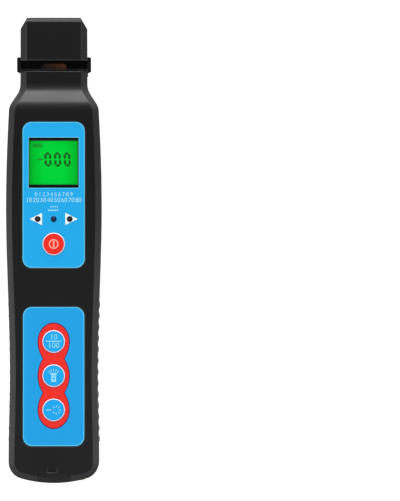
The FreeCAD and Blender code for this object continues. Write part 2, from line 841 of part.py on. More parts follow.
# Ribs stand in the middle of the back wall
RIB_LOW = "(face_wall / 2)"
bay_outer_long = f"({BAY_LENGTH} + 2 * bay_wall)"
rear_ribs = [
    grip_comb("grip_right", 1),
    grip_comb("grip_left", -1),
    box(
        "rear_port_wall", None, "port_wall_start", RIB_LOW, "port_wall_width", "port_wall",
        f"(parting_height - {RIB_LOW})",
    ),
    box(
        "rear_rod_rib", None, ROD_START, f"(back_drop + {RIB_LOW})", "(neck_width - side_wall)",
        "rib_thickness", f"(parting_height - back_drop - {RIB_LOW})",
    ),
    box(
        "bay_block", None, "(bay_start - bay_wall)", RIB_LOW, f"({BAY_WIDTH} + 2 * bay_wall)",
        bay_outer_long, f"({BAY_TOP} + bay_ceiling - {RIB_LOW})",
    ),
]
for i, (x, y) in enumerate(CASE_SCREWS):
    sleeve_tall = f"(parting_height - {RIB_LOW})"
    rear_ribs.append(pillar(f"case_sleeve_{i}", x, y, RIB_LOW, "case_boss_radius", sleeve_tall))
rear_solid = fused("rear_solid", cut("rear_case", rear_blank, rear_hollow), *rear_ribs)
rear_cuts = [
    box("bay_room", None, "bay_start", "0 - overshoot", BAY_WIDTH, BAY_LENGTH, f"({BAY_TOP} + overshoot)"),
    box(
        "cover_recess", None, "(bay_start - cover_ledge)", "0 - overshoot",
        f"({BAY_WIDTH} + 2 * cover_ledge)", f"({BAY_LENGTH} + 2 * cover_ledge)",
        "(cover_thickness + overshoot)",
    ),
    box(
        "trigger_slot", None, f"({TRIGGER_NECK_START} - trigger_gap)", "(back_drop - overshoot)",
        "(trigger_neck_width + 2 * trigger_gap)", "(trigger_neck_length + jaw_travel + 3 * trigger_gap)",
        "(face_wall + 2 * overshoot)",
    ),
    flap_pocket, hinge_hole, port_hole, torch_hole, stem_hole, *rod_holes,
]
for i, (x, y) in enumerate(CASE_SCREWS):
    pass_tall, sink_tall = "(parting_height + 2 * overshoot)", "(case_screw_seat + overshoot)"
    rear_cuts.append(pillar(f"case_pass_{i}", x, y, "0 - overshoot", SCREW_PASS, pass_tall))
    rear_cuts.append(pillar(f"case_sink_{i}", x, y, "0 - overshoot", SCREW_SINK, sink_tall))
for i, (x, y) in enumerate(HEAD_SCREWS):
    rear_cuts.append(pillar(f"head_pass_{i}", x, y, "0", SCREW_PASS, f"({SPINE_FRONT} + overshoot)"))
    rear_cuts.append(pillar(f"head_sink_{i}", x, y, "0", SCREW_SINK, "(back_drop + head_screw_seat)"))
node(cut("rear_shell", rear_solid, *rear_cuts), "rear_shell")

# Head cap: the hollow moulding above the slot, screwed to the spine
head_zone = box("head_zone", None, HEAD, SPINE_FRONT, CLEAR_WIDTH, "(head_height + 5)", "body_depth")
head_core = casing_block("head_core", "0", "body_depth", size("head_wall"), 0.0)
cut_head_corners(head_core, size("head_wall"))
head_hollow = box(
    "head_hollow", None, f"({HEAD} + rim_wall)", "back_drop", "(neck_width - 2 * head_wall)",
    "(head_height - rim_wall - head_wall)", f"({NECK_FRONT} - face_wall - back_drop)",
)
head_room = common("head_room", head_hollow, head_core)
head_posts = [
    pillar(
        f"head_post_{i}", x, y, SPINE_FRONT, "case_boss_radius",
        f"({NECK_FRONT} - {SPINE_FRONT} - face_wall + overlap)",
    )
    for i, (x, y) in enumerate(HEAD_SCREWS)
]
head_cuts = [
    box(
        "detector_opening", None, f"({HEAD} - overshoot)", f"({SPINE_FRONT} - overshoot)",
        "detector_width", "(rim_wall + 2 * overshoot)", f"(detector_top - {SPINE_FRONT} + overshoot)",
    )
]
head_cuts += [
    pillar(f"head_thread_{i}", x, y, SPINE_FRONT, "screw_radius", "head_screw_length")
    for i, (x, y) in enumerate(HEAD_SCREWS)
]
head_solid = fused(
    "head_solid", cut("head_case", common("head_blank", casing, head_zone), head_room), *head_posts,
)
node(cut("head_cap", head_solid, *head_cuts), "head_cap")

# Detector block: closes the opening in the head with a hollow that mirrors the jaw's hump
block = box(
    "detector_slab", None, HEAD, f"({SPINE_FRONT} + detector_gap)", "(detector_width - 2 * detector_gap)",
    "detector_length", f"(detector_top - {SPINE_FRONT} - 2 * detector_gap)",
)


def rising_slab(name, station, wide, tall, radius, low, deep):
    """A slab whose outline stands on a station with its two far corners rounded."""
    slab = body(name)
    drawing = sketch(slab, name + "_outline", "XY_Plane", low)
    y0 = station - half_length()
    corners = [(-wide / 2, y0), (wide / 2, y0), (wide / 2, y0 + tall), (-wide / 2, y0 + tall)]
    drawing.addGeometry(rounded([Vector(x, y, 0) for x, y in corners], [0, 0, radius, radius]))
    pad(slab, drawing, deep)
    return slab


gap = size("hump_gap")
hollow = rising_slab(
    "detector_hollow", size("head_station"), size("hump_width") + 2 * gap, size("detector_hollow_depth"),
    size("hump_round") + gap, "0", "body_depth",
)
diode_y = f"({HEAD} + detector_length - diode_length)"
DIODES = {"left": "(0 - diode_spread / 2)", "right": "(diode_spread / 2)"}
DIODE_Z = f"(({SPINE_FRONT} + detector_top) / 2)"
diode_holes = [
    barrel(f"diode_hole_{side}", x, diode_y, DIODE_Z, "diode_radius", "(diode_length + overshoot)")
    for side, x in DIODES.items()
]
node(cut("detector_block", block, hollow, *diode_holes), "detector_block")
for side, x in DIODES.items():
    node(
        barrel(f"photodiode_{side}", x, diode_y, DIODE_Z, "diode_radius", "diode_length"),
        f"photodiode_{side}",
    )

# Jaw carriage: plate across the slot, a cheek on either side of the neck and a stem with two lugs
cheek_x = "(neck_width / 2 + cheek_gap)"
carriage = [
    box(
        "jaw_plate_slab", None, f"({RIM} + jaw_gap)", f"({SPINE_FRONT} + jaw_gap)",
        f"(2 * {cheek_x} + 2 * overlap)", "jaw_plate", f"(jaw_front - {SPINE_FRONT} - jaw_gap)",
    ),
    box(
        "jaw_stem", None, f"({RIM} - stem_length)", STEM_LOW, "stem_width",
        "(stem_length + jaw_gap + overlap)", "stem_depth",
    ),
    box(
        "jaw_lugs", None, f"({RIM} - stem_length)", STEM_LOW, "(stem_width + 2 * lug_reach)",
        "lug_thickness", "stem_depth",
    ),
]
for sign in (-1, 1):
    cheek = body(f"cheek_{sign + 1}")
    drawing = sketch(cheek, f"cheek_outline_{sign + 1}", "XY_Plane", "cheek_low")
    inner = size("neck_width") / 2 + size("cheek_gap")
    outer = inner + size("cheek_thickness")
    foot = size("rim_station") + size("jaw_gap") + size("jaw_plate") - size("cheek_fall") - half_length()
    top = foot + size("cheek_fall") + size("cheek_rise")
    corners = [(inner, foot), (outer, foot + size("cheek_cut")), (outer, top), (inner, top)]
    corners = [Vector(x * sign, y, 0) for x, y in corners]
    drawing.addGeometry(rounded(corners, [0, 0, size("cheek_round"), 0]))
    pad(cheek, drawing, "cheek_depth")
    carriage.append(cheek)
jaw_holes = [
    barrel(
        f"lug_hole_{sign + 1}", f"({sign} * rod_spread / 2)", f"({RIM} - stem_length - overshoot)",
        "parting_height", "(rod_radius + rod_gap)", "(lug_thickness + 2 * overshoot)",
    )
    for sign in (-1, 1)
]
TRIGGER_SCREW_Y = f"({TRIGGER_NECK_START} + trigger_neck_length / 2)"
jaw_holes.append(
    pillar(
        "stem_thread", "0", TRIGGER_SCREW_Y, f"({STEM_LOW} - overshoot)", "screw_radius",
        "(stem_thread_depth + overshoot)",
    )
)
node(cut("jaw_carriage", fused("jaw_solid", *carriage), *jaw_holes), "jaw_carriage")

# Bending hump: an amber moulding on the plate, round at both ends where the fibre bends over it
hump_station = size("rim_station") + size("jaw_gap") + size("jaw_plate")
hump = rising_slab(
    "hump", hump_station, size("hump_width"), size("hump_height"), size("hump_round"), "hump_low",
    "hump_depth",
)
node(hump, "bend_hump")

# Trigger on the back, with its neck through the slot to the stem
grip = box(
    "trigger_plate", None, TRIGGER_START, "trigger_low", "trigger_width", "trigger_length",
    "(back_drop - trigger_low - trigger_gap)",
)
neck = box(
    "trigger_neck", None, TRIGGER_NECK_START, "(back_drop - overshoot)", "trigger_neck_width",
    "trigger_neck_length", f"({STEM_LOW} - back_drop + overshoot)",
)
trigger_cuts = []
groove_pitch = "((trigger_length - 2 * trigger_groove_inset) / (trigger_groove_count - 1))"
for i in range(int(size("trigger_groove_count"))):
    trigger_cuts.append(
        crossbar(
            f"trigger_groove_{i}", "(0 - trigger_width / 2 - overshoot)",
            f"({TRIGGER_START} + trigger_groove_inset + {i} * {groove_pitch})",
            "(trigger_low - trigger_groove_drop)", "trigger_groove", "(trigger_width + 2 * overshoot)",
        )
    )
trigger_cuts += [
    pillar("trigger_pass", "0", TRIGGER_SCREW_Y, "0 - overshoot", SCREW_PASS, "parting_height"),
    pillar(
        "trigger_sink", "0", TRIGGER_SCREW_Y, "0 - overshoot", SCREW_SINK,
        "(trigger_low + trigger_screw_seat + overshoot)",
    ),
]
node(cut("trigger", fused("trigger_solid", grip, neck), *trigger_cuts), "trigger")

# Guide rods and the coil springs that push the jaw back
SPRING_LOW = f"({RIM} - stem_length + lug_thickness)"
for side, sign in (("left", -1), ("right", 1)):
    x = f"({sign} * rod_spread / 2)"
    node(
        barrel(f"guide_rod_{side}", x, ROD_START, "parting_height", "rod_radius", "rod_length"),
        f"guide_rod_{side}",
    )
    wire_path = doc.addObject("Part::Helix", f"spring_path_{side}")
    bind(wire_path, "Radius", "spring_radius")
    bind(wire_path, "Height", f"({CAVITY_TOP} - {SPRING_LOW} - 2 * spring_wire)")
    bind(wire_path, "Pitch", f"(({CAVITY_TOP} - {SPRING_LOW} - 2 * spring_wire) / spring_turns)")
    wire = doc.addObject("Part::RegularPolygon", f"spring_section_{side}")
    wire.Polygon = 4
    bind(wire, "Circumradius", "spring_wire")
    wire.Placement = Placement(Vector(size("spring_radius"), 0, 0), Rotation(Vector(1, 0, 0), 90))
    bind(wire, "Placement.Base.x", "spring_radius")
    coil = doc.addObject("Part::Sweep", f"return_spring_{side}")
    coil.Sections = [wire]
    coil.Spine = (wire_path, ["Edge1"])
    coil.Solid = True
    coil.Frenet = True
    coil.Placement = Placement(Vector(), Rotation(Vector(1, 0, 0), -90))
    put(coil, x, f"({SPRING_LOW} + spring_wire)", "parting_height")
    node(coil, f"return_spring_{side}")

# Printed overlays in their recesses
upper_cuts = [
    box("upper_window", None, WINDOW_START, FACE_CUT_LOW, "window_width", "window_length", FACE_CUT_TALL),
    pillar("upper_key_hole", "0", KEYS["power"], FACE_CUT_LOW, KEY_HOLE, FACE_CUT_TALL),
]
upper_cuts += [
    pillar(f"upper_lamp_hole_{name}", x, LAMP_Y, FACE_CUT_LOW, LAMP_HOLE, FACE_CUT_TALL)
    for name, x in LAMPS.items()
]
upper_film = panel(
    "upper_film", upper_start, "upper_panel_width", "upper_panel_length", size("film_rim_gap"),
    RECESS_FLOOR, "film_thickness",
)
node(cut("upper_overlay", upper_film, *upper_cuts), "upper_overlay")
lower_film = panel(
    "lower_film", lower_start, "lower_panel_width", "lower_panel_length", size("film_rim_gap"),
    RECESS_FLOOR, "film_thickness",
)
lower_cuts = [
    pillar(f"lower_key_hole_{name}", "0", KEYS[name], FACE_CUT_LOW, KEY_HOLE, FACE_CUT_TALL)
    for name in ("unit", "lamp", "laser")
]
node(cut("lower_overlay", lower_film, *lower_cuts), "lower_overlay")

# Display: lens on the ledge, glass and backlight in a frame on the board, rubber connector strips
lens = box(
    "display_lens", None, f"({WINDOW_START} + film_gap)", "(body_depth - lens_thickness)",
    "(window_width - 2 * film_gap)", "(window_length - 2 * film_gap)", "(lens_thickness - film_gap)",
)
node(lens, "display_lens")
frame_outer = box(
    "frame_outer", None, f"({WINDOW_START} - bezel_rim)", BOARD_TOP, "(window_width + 2 * bezel_rim)",
    "(window_length + 2 * bezel_rim)", f"({CEILING} - {BOARD_TOP} - film_gap)",
)
frame_inner = box(
    "frame_inner", None, WINDOW_START, f"({BOARD_TOP} - overshoot)", "window_width", "window_length",
    "body_depth",
)
node(cut("display_frame", frame_outer, frame_inner), "display_frame")
GLASS_LOW = f"({CEILING} - film_gap - glass_thickness)"
glass = box(
    "display_glass", None, f"({WINDOW_START} + film_gap)", GLASS_LOW, "(window_width - 2 * film_gap)",
    "(window_length - 2 * film_gap)", "glass_thickness",
)
node(glass, "display_glass")
light_inset = "(connector_width + 2 * film_gap)"
light = box(
    "display_backlight", None, f"({WINDOW_START} + {light_inset})", BOARD_TOP,
    "(window_width - 2 * film_gap)", f"(window_length - 2 * {light_inset})", f"({GLASS_LOW} - {BOARD_TOP})",
)
node(light, "display_backlight")
for side, y in (
    ("lower", f"({WINDOW_START} + film_gap)"),
    ("upper", f"({WINDOW_START} + window_length - film_gap - connector_width)"),
):
    strip = box(
        f"rubber_strip_{side}", None, y, BOARD_TOP, "(window_width - 2 * connector_inset)",
        "connector_width", f"({GLASS_LOW} - {BOARD_TOP})",
    )
    node(strip, f"rubber_connector_{side}")


def bevelled(name, blank, amount):
    """A solid with the rim of its top face bevelled."""
    edge = doc.addObject("Part::Chamfer", name)
    edge.Base = blank
    doc.recompute()
    top = blank.Shape.BoundBox.ZMax
    rims = [i for i, e in enumerate(blank.Shape.Edges, start=1) if abs(e.BoundBox.ZMin - top) < 1e-4]
    edge.Edges = [(i, amount, amount) for i in rims]
    return edge


# Indicator lamps: round lenses on the board that stand just proud of the overlay
for name, x in LAMPS.items():
    stalk = pillar(
        f"{name}_lamp_stalk", x, LAMP_Y, BOARD_TOP, "lamp_radius",
        f"(body_depth - {BOARD_TOP} + lamp_proud)",
    )
    node(bevelled(f"{name}_lamp", stalk, size("lamp_rim")), f"indicator_lamp_{name}")

# Keys: crowned cap, retaining flange and a stem over the switch on the board
SWITCH_TOP = f"({BOARD_TOP} + switch_tall)"
for name, y in KEYS.items():
    cap_low = f"({CEILING} - key_flange_gap - key_flange_thickness)"
    cap = pillar(f"{name}_key_cap", "0", y, cap_low, "key_radius", f"(body_depth + key_crown - {cap_low})")
    flange = pillar(f"{name}_key_flange", "0", y, cap_low, "key_flange_radius", "key_flange_thickness")
    stem = pillar(
        f"{name}_key_stem", "0", y, f"({SWITCH_TOP} + key_travel + key_rest_gap)", "key_stem_radius",
        f"({cap_low} - {SWITCH_TOP} - key_travel - key_rest_gap + overlap)",
    )
    blank = fused(f"{name}_key_solid", cap, flange, stem)
    node(bevelled(f"{name}_key", blank, size("key_rim")), f"{name}_key")
    block = box(
        f"{name}_switch_body", "(0 - switch_size / 2)", f"({y} - switch_size / 2)", BOARD_TOP,
        "switch_size", "switch_size", "(switch_tall - switch_button_tall)",
    )
    button = pillar(f"{name}_switch_button", "0", y, BOARD_TOP, "switch_button_radius", "switch_tall")
    node(fused(f"{name}_switch", block, button), f"{name}_switch")

# Main board with its parts, held down by the front shell's posts
slab = box(
    "board_slab", None, "board_start", "board_height", "board_width", f"({RIM} - board_start - board_end)",
    "board_thickness",
)
board_holes = [
    pillar(
        f"board_hole_{i}", x, y, "(board_height - overshoot)", "(board_screw_radius + screw_gap)",
        "(board_thickness + 2 * overshoot)",
    )
    for i, (x, y) in enumerate(BOARD_SCREWS)
]
node(cut("main_board", slab, *board_holes), "main_board")
processor = box(
    "processor", None, "(board_start + processor_start)", "(board_height - chip_thickness)",
    "processor_size", "processor_size", "chip_thickness",
)
node(processor, "processor_chip")
amplifier = box(
    "amplifier", None, "(board_start + amplifier_start)", "(board_height - chip_thickness)",
    "amplifier_width", "amplifier_length", "chip_thickness",
)
node(amplifier, "amplifier_chip")
buzzer = pillar(
    "buzzer", "0", "(board_start + buzzer_place)", "(board_height - buzzer_tall)", "buzzer_radius",
    "buzzer_tall",
)
node(buzzer, "buzzer")

# Cells, their contact plates and the battery cover
CELLS = {"left": f"(0 - {BATTERY_PITCH})", "middle": "0", "right": BATTERY_PITCH}
cell_start = "(bay_start + contact_space)"
for i, (name, x) in enumerate(CELLS.items()):
    turned = i % 2
    can_y = f"({cell_start} + battery_nub_length)" if turned else cell_start
    nub_y = cell_start if turned else f"({cell_start} + battery_length - overshoot)"
    can = barrel(f"{name}_cell_can", x, can_y, BATTERY_Z, "battery_radius", "battery_length")
    nub_long = "(battery_nub_length + overshoot)"
    nub = barrel(f"{name}_cell_nub", x, nub_y, BATTERY_Z, "battery_nub_radius", nub_long)
    node(fused(f"battery_{name}", can, nub), f"battery_{name}")
CONTACTS = {
    "contact_lower_single": ("lower", ["left"]),
    "contact_lower_pair": ("lower", ["middle", "right"]),
    "contact_upper_pair": ("upper", ["left", "middle"]),
    "contact_upper_single": ("upper", ["right"]),
}
for name, (end, cells_held) in CONTACTS.items():
    first, last = CELLS[cells_held[0]], CELLS[cells_held[-1]]
    plate_y = "bay_start" if end == "lower" else f"(bay_start + {BAY_LENGTH} - contact_thickness)"
    plate = box(
        f"{name}_plate", f"({first} - contact_width / 2)", plate_y, f"({BATTERY_Z} - contact_tall / 2)",
        f"({last} - {first} + contact_width)", "contact_thickness", "contact_tall",
    )
    studs = []
    for cell in cells_held:
        stud_y = "bay_start" if end == "lower" else f"({cell_start} + battery_length + battery_nub_length)"
        stud = barrel(
            f"{name}_{cell}_stud", CELLS[cell], stud_y, BATTERY_Z, "contact_stud_radius", "contact_space",
        )
        studs.append(stud)
    node(fused(name, plate, *studs), name)
cover = box(
    "cover_plate", None, "(bay_start - cover_ledge + cover_gap)", "0",
    f"({BAY_WIDTH} + 2 * cover_ledge - 2 * cover_gap)",
    f"({BAY_LENGTH} + 2 * cover_ledge - 2 * cover_gap)", "cover_thickness",
)
grooves = [
    box(
        f"cover_groove_{i}", None,
        f"(bay_start + {BAY_LENGTH} - cover_groove_inset - {i} * cover_groove_pitch)",
        "0 - overshoot", "cover_groove_width", "cover_groove", "(cover_groove_depth + overshoot)",
    )
    for i in range(int(size("cover_groove_count")))
]
node(cut("battery_cover", cover, *grooves), "battery_cover")

# Laser port at the bottom end: flanged sleeve in the wall and the module behind it
sleeve = barrel("port_sleeve", "0", "port_start", "port_height", "port_sleeve_radius", "port_length")
flange = barrel(
    "port_flange", "0", PORT_WALL_TOP, "port_height", "port_flange_radius", "port_flange_thickness",
)
bore = barrel(
    "port_bore", "0", "(port_start - overshoot)", "port_height", "port_bore_radius",
    "(port_length + 2 * overshoot)",
)
node(cut("laser_port", fused("port_solid", sleeve, flange), bore), "laser_port")
module = barrel(
    "laser_barrel", "0", "(port_start + port_length)", "port_height", "laser_radius", "laser_length",
)
node(module, "laser_module")
torch = barrel("torch_lamp", "torch_spread", "torch_start", "port_height", "torch_radius", "torch_length")
node(torch, "torch_lamp")

# Dust flap, shaped to the casing, on its hinge pin
flap_plate = common("flap_plate", casing, flap_space("flap_form", "0"))
knuckle = crossbar(
    "flap_knuckle", "(0 - flap_width / 2)", HINGE_Y, "hinge_height", "hinge_radius", "flap_width",
)
flap_hole = crossbar(
    "flap_pin_hole", "(0 - flap_width / 2 - overshoot)", HINGE_Y, "hinge_height",
    "(hinge_pin_radius + hinge_pin_gap)", "(flap_width + 2 * overshoot)",
)
flap_line = box(
    "flap_line_groove", "(0 - flap_line_width / 2 - nail_offset)", "flap_line_start",
    "(body_depth - flap_line)", "flap_line_width", "flap_line", "overshoot",
)
node(cut("dust_flap", fused("flap_solid", flap_plate, knuckle), flap_hole, flap_line), "dust_flap")
hinge_pin = crossbar(
    "hinge_pin", "(0 - flap_width / 2 - hinge_pin_reach)", HINGE_Y, "hinge_height", "hinge_pin_radius",
    "(flap_width + 2 * hinge_pin_reach)",
)
node(hinge_pin, "flap_pin")


def screw(name, x, y, seat, long, radius, head_radius, head_tall, upward=True):
    """A pan-head screw with a cross slot; its head lies under the seat, or above it where it points down."""
    shank = pillar(name + "_shank", x, y, seat if upward else f"({seat} - {long})", radius, long)
    head = pillar(
        name + "_head", x, y, f"({seat} - {head_tall})" if upward else seat, head_radius, head_tall,
    )
    slots = []
    slot_z = f"({seat} - {head_tall} - overshoot)" if upward else f"({seat} + {head_tall} - screw_slot_depth)"
    reach = f"(screw_slot_reach * {head_radius})"
    for wide, deep in ((reach, "screw_slot"), ("screw_slot", reach)):
        slot = box(
            f"{name}_slot_{len(slots)}", f"({x} - {wide} / 2)", f"({y} - {deep} / 2)", slot_z, wide, deep,
            "(screw_slot_depth + overshoot)",
        )
        slots.append(slot)
    return cut(name, fused(name + "_solid", shank, head), *slots)


for i, (x, y) in enumerate(CASE_SCREWS):
    long = "(parting_height - case_screw_seat + case_screw_bite)"
    bolt = screw(
        f"case_bolt_{i}", x, y, "case_screw_seat", long, "screw_radius", "screw_head_radius",
        "screw_head_tall",
    )
    node(bolt, f"case_screw_{i + 1}")
for i, (x, y) in enumerate(HEAD_SCREWS):
    seat = "(back_drop + head_screw_seat)"
    bolt = screw(
        f"head_bolt_{i}", x, y, seat, "head_screw_length", "screw_radius", "screw_head_radius",
        "screw_head_tall",
    )
    node(bolt, f"head_screw_{i + 1}")
for i, (x, y) in enumerate(BOARD_SCREWS):
    bolt = screw(
        f"board_bolt_{i}", x, y, "board_height", "board_screw_length", "board_screw_radius",
        "board_screw_head_radius", "board_screw_head_tall",
    )
    node(bolt, f"board_screw_{i + 1}")
bolt = screw(
    "trigger_bolt", "0", TRIGGER_SCREW_Y, "(trigger_low + trigger_screw_seat)", "trigger_screw_length",
    "screw_radius", "screw_head_radius", "screw_head_tall",
)
node(bolt, "trigger_screw")

doc.recompute()
for thing in doc.Objects:
    if "Invalid" in thing.State or "Error" in thing.State:
        raise RuntimeError(f"{thing.Name} did not recompute: {thing.State}")
os.makedirs("parts", exist_ok=True)
for thing in NODES:
    if thing.Shape.isNull() or not thing.Shape.isValid():
        raise RuntimeError(f"{thing.Label} has no valid shape")
for thing in NODES:
    thing.Shape.exportStep(f"parts/{thing.Label}.step")
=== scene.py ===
import math

import bmesh
import bpy
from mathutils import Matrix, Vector


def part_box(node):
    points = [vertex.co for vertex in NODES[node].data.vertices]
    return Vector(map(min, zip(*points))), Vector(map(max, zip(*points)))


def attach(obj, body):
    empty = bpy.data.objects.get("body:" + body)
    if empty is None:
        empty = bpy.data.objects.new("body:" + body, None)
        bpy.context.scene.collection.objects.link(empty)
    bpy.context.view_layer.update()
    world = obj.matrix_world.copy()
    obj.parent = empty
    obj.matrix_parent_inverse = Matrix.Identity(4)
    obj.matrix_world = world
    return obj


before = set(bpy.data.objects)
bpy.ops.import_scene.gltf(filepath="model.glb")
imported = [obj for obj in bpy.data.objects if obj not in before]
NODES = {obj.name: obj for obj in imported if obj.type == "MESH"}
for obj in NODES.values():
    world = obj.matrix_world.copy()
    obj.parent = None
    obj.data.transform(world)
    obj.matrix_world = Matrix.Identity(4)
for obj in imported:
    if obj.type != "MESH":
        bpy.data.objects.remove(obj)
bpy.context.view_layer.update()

# Casing: front shell, rear shell and head cap. Injection-moulded black ABS blend with a fine
# spark texture, so it reads as satin near-black with soft highlights along its bevels. A paler
# colour is painted along the edges of the front shell and head cap as a highlight, and the front
# shell is painted a shade paler towards the foot as painted light.
# The halves are screwed together from the back.

MM = 0.001
# Painted light: the span, in mm along the length, over which the casing is painted paler towards the foot.
FOOT_LIGHT_FROM, FOOT_LIGHT_FULL = 45, -95
CLOUD_SIZE, CLOUD_LOW, CLOUD_HIGH, CLOUD_GLOSS = 18, 0.3, 0.7, 0.04
# Painted highlight: how far the paler colour painted along the edges reaches, by the turn of the normal.
EDGE_STARTS, EDGE_FULL = 0.985, 0.93
CRISP_ANGLE, JOIN_REACH = math.radians(24), 0.002


def linear(code, alpha=1.0):
    """An sRGB hex value as a linear colour."""
    channels = [int(code[i:i + 2], 16) / 255 for i in (1, 3, 5)]
    curve = [c / 12.92 if c <= 0.04045 else ((c + 0.055) / 1.055) ** 2.4 for c in channels]
    return (*curve, alpha)


def add_node(tree, kind, inputs=None, **settings):
    """Adds a node with its settings; an input that is a node or a socket is linked, others are set."""
    node = tree.nodes.new(kind)
    for name, value in settings.items():
        setattr(node, name, value)
    for key, value in (inputs or {}).items():
        if isinstance(value, bpy.types.Node):
            value = next(s for s in value.outputs if s.enabled)
        if isinstance(value, bpy.types.NodeSocket):
            tree.links.new(value, node.inputs[key])
        else:
            node.inputs[key].default_value = value
    return node


def maths(tree, operation, *values):
    """A Math node on one to three values."""
    return add_node(tree, "ShaderNodeMath", dict(enumerate(values)), operation=operation)


def vector_maths(tree, operation, *values):
    """A Vector Math node on one or two vectors."""
    return add_node(tree, "ShaderNodeVectorMath", dict(enumerate(values)), operation=operation)


def ramp(tree, value, start, end, low=0.0, high=1.0):
    """A value carried evenly from one range onto another, and held at both ends."""
    return add_node(
        tree, "ShaderNodeMapRange",
        {"Value": value, "From Min": start, "From Max": end, "To Min": low, "To Max": high},
    )


def mixed(tree, mask, below, above):
    """The first colour where the mask is 0 and the second where it is 1."""
    return add_node(tree, "ShaderNodeMix", {0: mask, 6: below, 7: above}, data_type="RGBA").outputs[2]


def new_material(name):
    """An empty material and its node tree."""
    material = bpy.data.materials.new(name)
    material.use_nodes = True
    material.node_tree.nodes.clear()
    return material, material.node_tree


def edge_highlight_mask(tree, rounded):
    """1 along the edges, where a paler colour is painted as a highlight, and 0 on the faces."""
    flat = add_node(tree, "ShaderNodeNewGeometry")
    turn = vector_maths(tree, "DOT_PRODUCT", rounded, flat.outputs["Normal"])
    return ramp(tree, turn.outputs["Value"], EDGE_STARTS, EDGE_FULL)


def foot_light_mask(tree, place):
    """Grows from 0 to 1 towards the foot, which is painted a shade paler as painted light."""
    along = add_node(tree, "ShaderNodeSeparateXYZ", {0: place.outputs["Object"]})
    return ramp(tree, along.outputs[1], FOOT_LIGHT_FROM * MM, FOOT_LIGHT_FULL * MM)


def cloudy_gloss(tree, place, roughness):
    """Faint cloudy changes of gloss over a few centimetres, which handling leaves."""
    clouds = add_node(
        tree, "ShaderNodeTexNoise",
        {"Vector": place.outputs["Object"], "Scale": 1 / (CLOUD_SIZE * MM), "Detail": 3.0},
    )
    low, high = roughness - CLOUD_GLOSS, roughness + CLOUD_GLOSS
    return ramp(tree, clouds.outputs[0], CLOUD_LOW, CLOUD_HIGH, low, high)


def moulded_plastic(
    name, colour, roughness, grain, depth, edge=0.2, gloss=0.35, edge_highlight_colour=None, foot_light_colour=None
):
    """Moulded plastic with a spark texture of that grain, in mm, and slightly rounded edges. The edge colour
    is a painted highlight along the edges, and the foot colour is painted light, paler towards the foot.
    """
    material, tree = new_material(name)
    place = add_node(tree, "ShaderNodeTexCoord")
    rounded = add_node(tree, "ShaderNodeBevel", {"Radius": edge * MM}, samples=6)
    # Painted light: a paler shade towards the foot, then a paler painted highlight along the edges.
    shade = mixed(tree, foot_light_mask(tree, place), linear(colour), linear(foot_light_colour or colour))
    shade = mixed(tree, edge_highlight_mask(tree, rounded), shade, linear(edge_highlight_colour or colour))
    pits = add_node(
        tree, "ShaderNodeTexNoise",
        {"Vector": place.outputs["Object"], "Scale": 1 / (grain * MM), "Detail": 2.0, "Roughness": 0.6},
    )
    bumped = add_node(
        tree, "ShaderNodeBump",
        {"Strength": 1.0, "Distance": depth * MM, "Height": pits.outputs[0], "Normal": rounded},
    )
    shader = add_node(
        tree, "ShaderNodeBsdfPrincipled",
        {
            "Base Color": shade, "Roughness": cloudy_gloss(tree, place, roughness),
            "Specular IOR Level": gloss, "IOR": 1.53, "Normal": bumped,
        },
    )
    add_node(tree, "ShaderNodeOutputMaterial", {"Surface": shader})
    return material


def geometry_group(name, kinds):
    """A geometry group with the named inputs after its geometry, and the sockets that it is given."""
    tree = bpy.data.node_groups.new(name, "GeometryNodeTree")
    tree.interface.new_socket("Geometry", in_out="INPUT", socket_type="NodeSocketGeometry")
    for label, kind in kinds.items():
        tree.interface.new_socket(label, in_out="INPUT", socket_type=f"NodeSocket{kind}")
    tree.interface.new_socket("Geometry", in_out="OUTPUT", socket_type="NodeSocketGeometry")
    return tree, add_node(tree, "NodeGroupInput").outputs


def smoothing_tree():
    """Joins a moulding's loose facets and shades its curved faces smooth, with its edges kept crisp."""
    tree, given = geometry_group("smooth_curved_faces", {"Crisp Angle": "Float"})
    tree.interface.items_tree["Crisp Angle"].default_value = CRISP_ANGLE
    joined = add_node(tree, "GeometryNodeMergeByDistance", {0: given[0], "Distance": JOIN_REACH * MM})
    fold = add_node(tree, "GeometryNodeInputMeshEdgeAngle")
    crisp = add_node(
        tree, "FunctionNodeCompare", {0: fold.outputs[0], 1: given[1]},
        data_type="FLOAT", operation="LESS_THAN",
    )
    faces = add_node(tree, "GeometryNodeSetShadeSmooth", {0: joined, "Shade Smooth": True}, domain="FACE")
    edges = add_node(tree, "GeometryNodeSetShadeSmooth", {0: faces, "Shade Smooth": crisp}, domain="EDGE")
    add_node(tree, "NodeGroupOutput", {0: edges})
    return tree


SMOOTH = smoothing_tree()


def dress(material, *names):
    """Gives CAD nodes a material and smooth shading on their curved faces."""
    for name in names:
        piece = NODES[name]
        if not piece.material_slots:
            piece.data.materials.append(None)
        for holder in piece.material_slots:
            holder.link = "OBJECT"
            holder.material = material
        piece.modifiers.new("smooth_curved_faces", "NODES").node_group = SMOOTH


# The paler edge colours are painted highlights, and the paler foot colour is painted light.
CASING_BLACK = moulded_plastic(
    "casing_abs_spark_textured", "#0e0e0f", 0.36, grain=0.35, depth=0.006, edge=0.5, gloss=0.35,
    edge_highlight_colour="#404040", foot_light_colour="#1b1b1b",
)
HEAD_BLACK = moulded_plastic(
    "head_abs_spark_textured", "#161616", 0.38, grain=0.35, depth=0.006, edge=0.9, gloss=0.25,
    edge_highlight_colour="#505050",
)
REAR_BLACK = moulded_plastic("rear_abs_spark_textured", "#141414", 0.5, grain=0.4, depth=0.012, gloss=0.28)
dress(CASING_BLACK, "front_shell")
dress(HEAD_BLACK, "head_cap")
dress(REAR_BLACK, "rear_shell", "battery_cover", "dust_flap", "trigger")

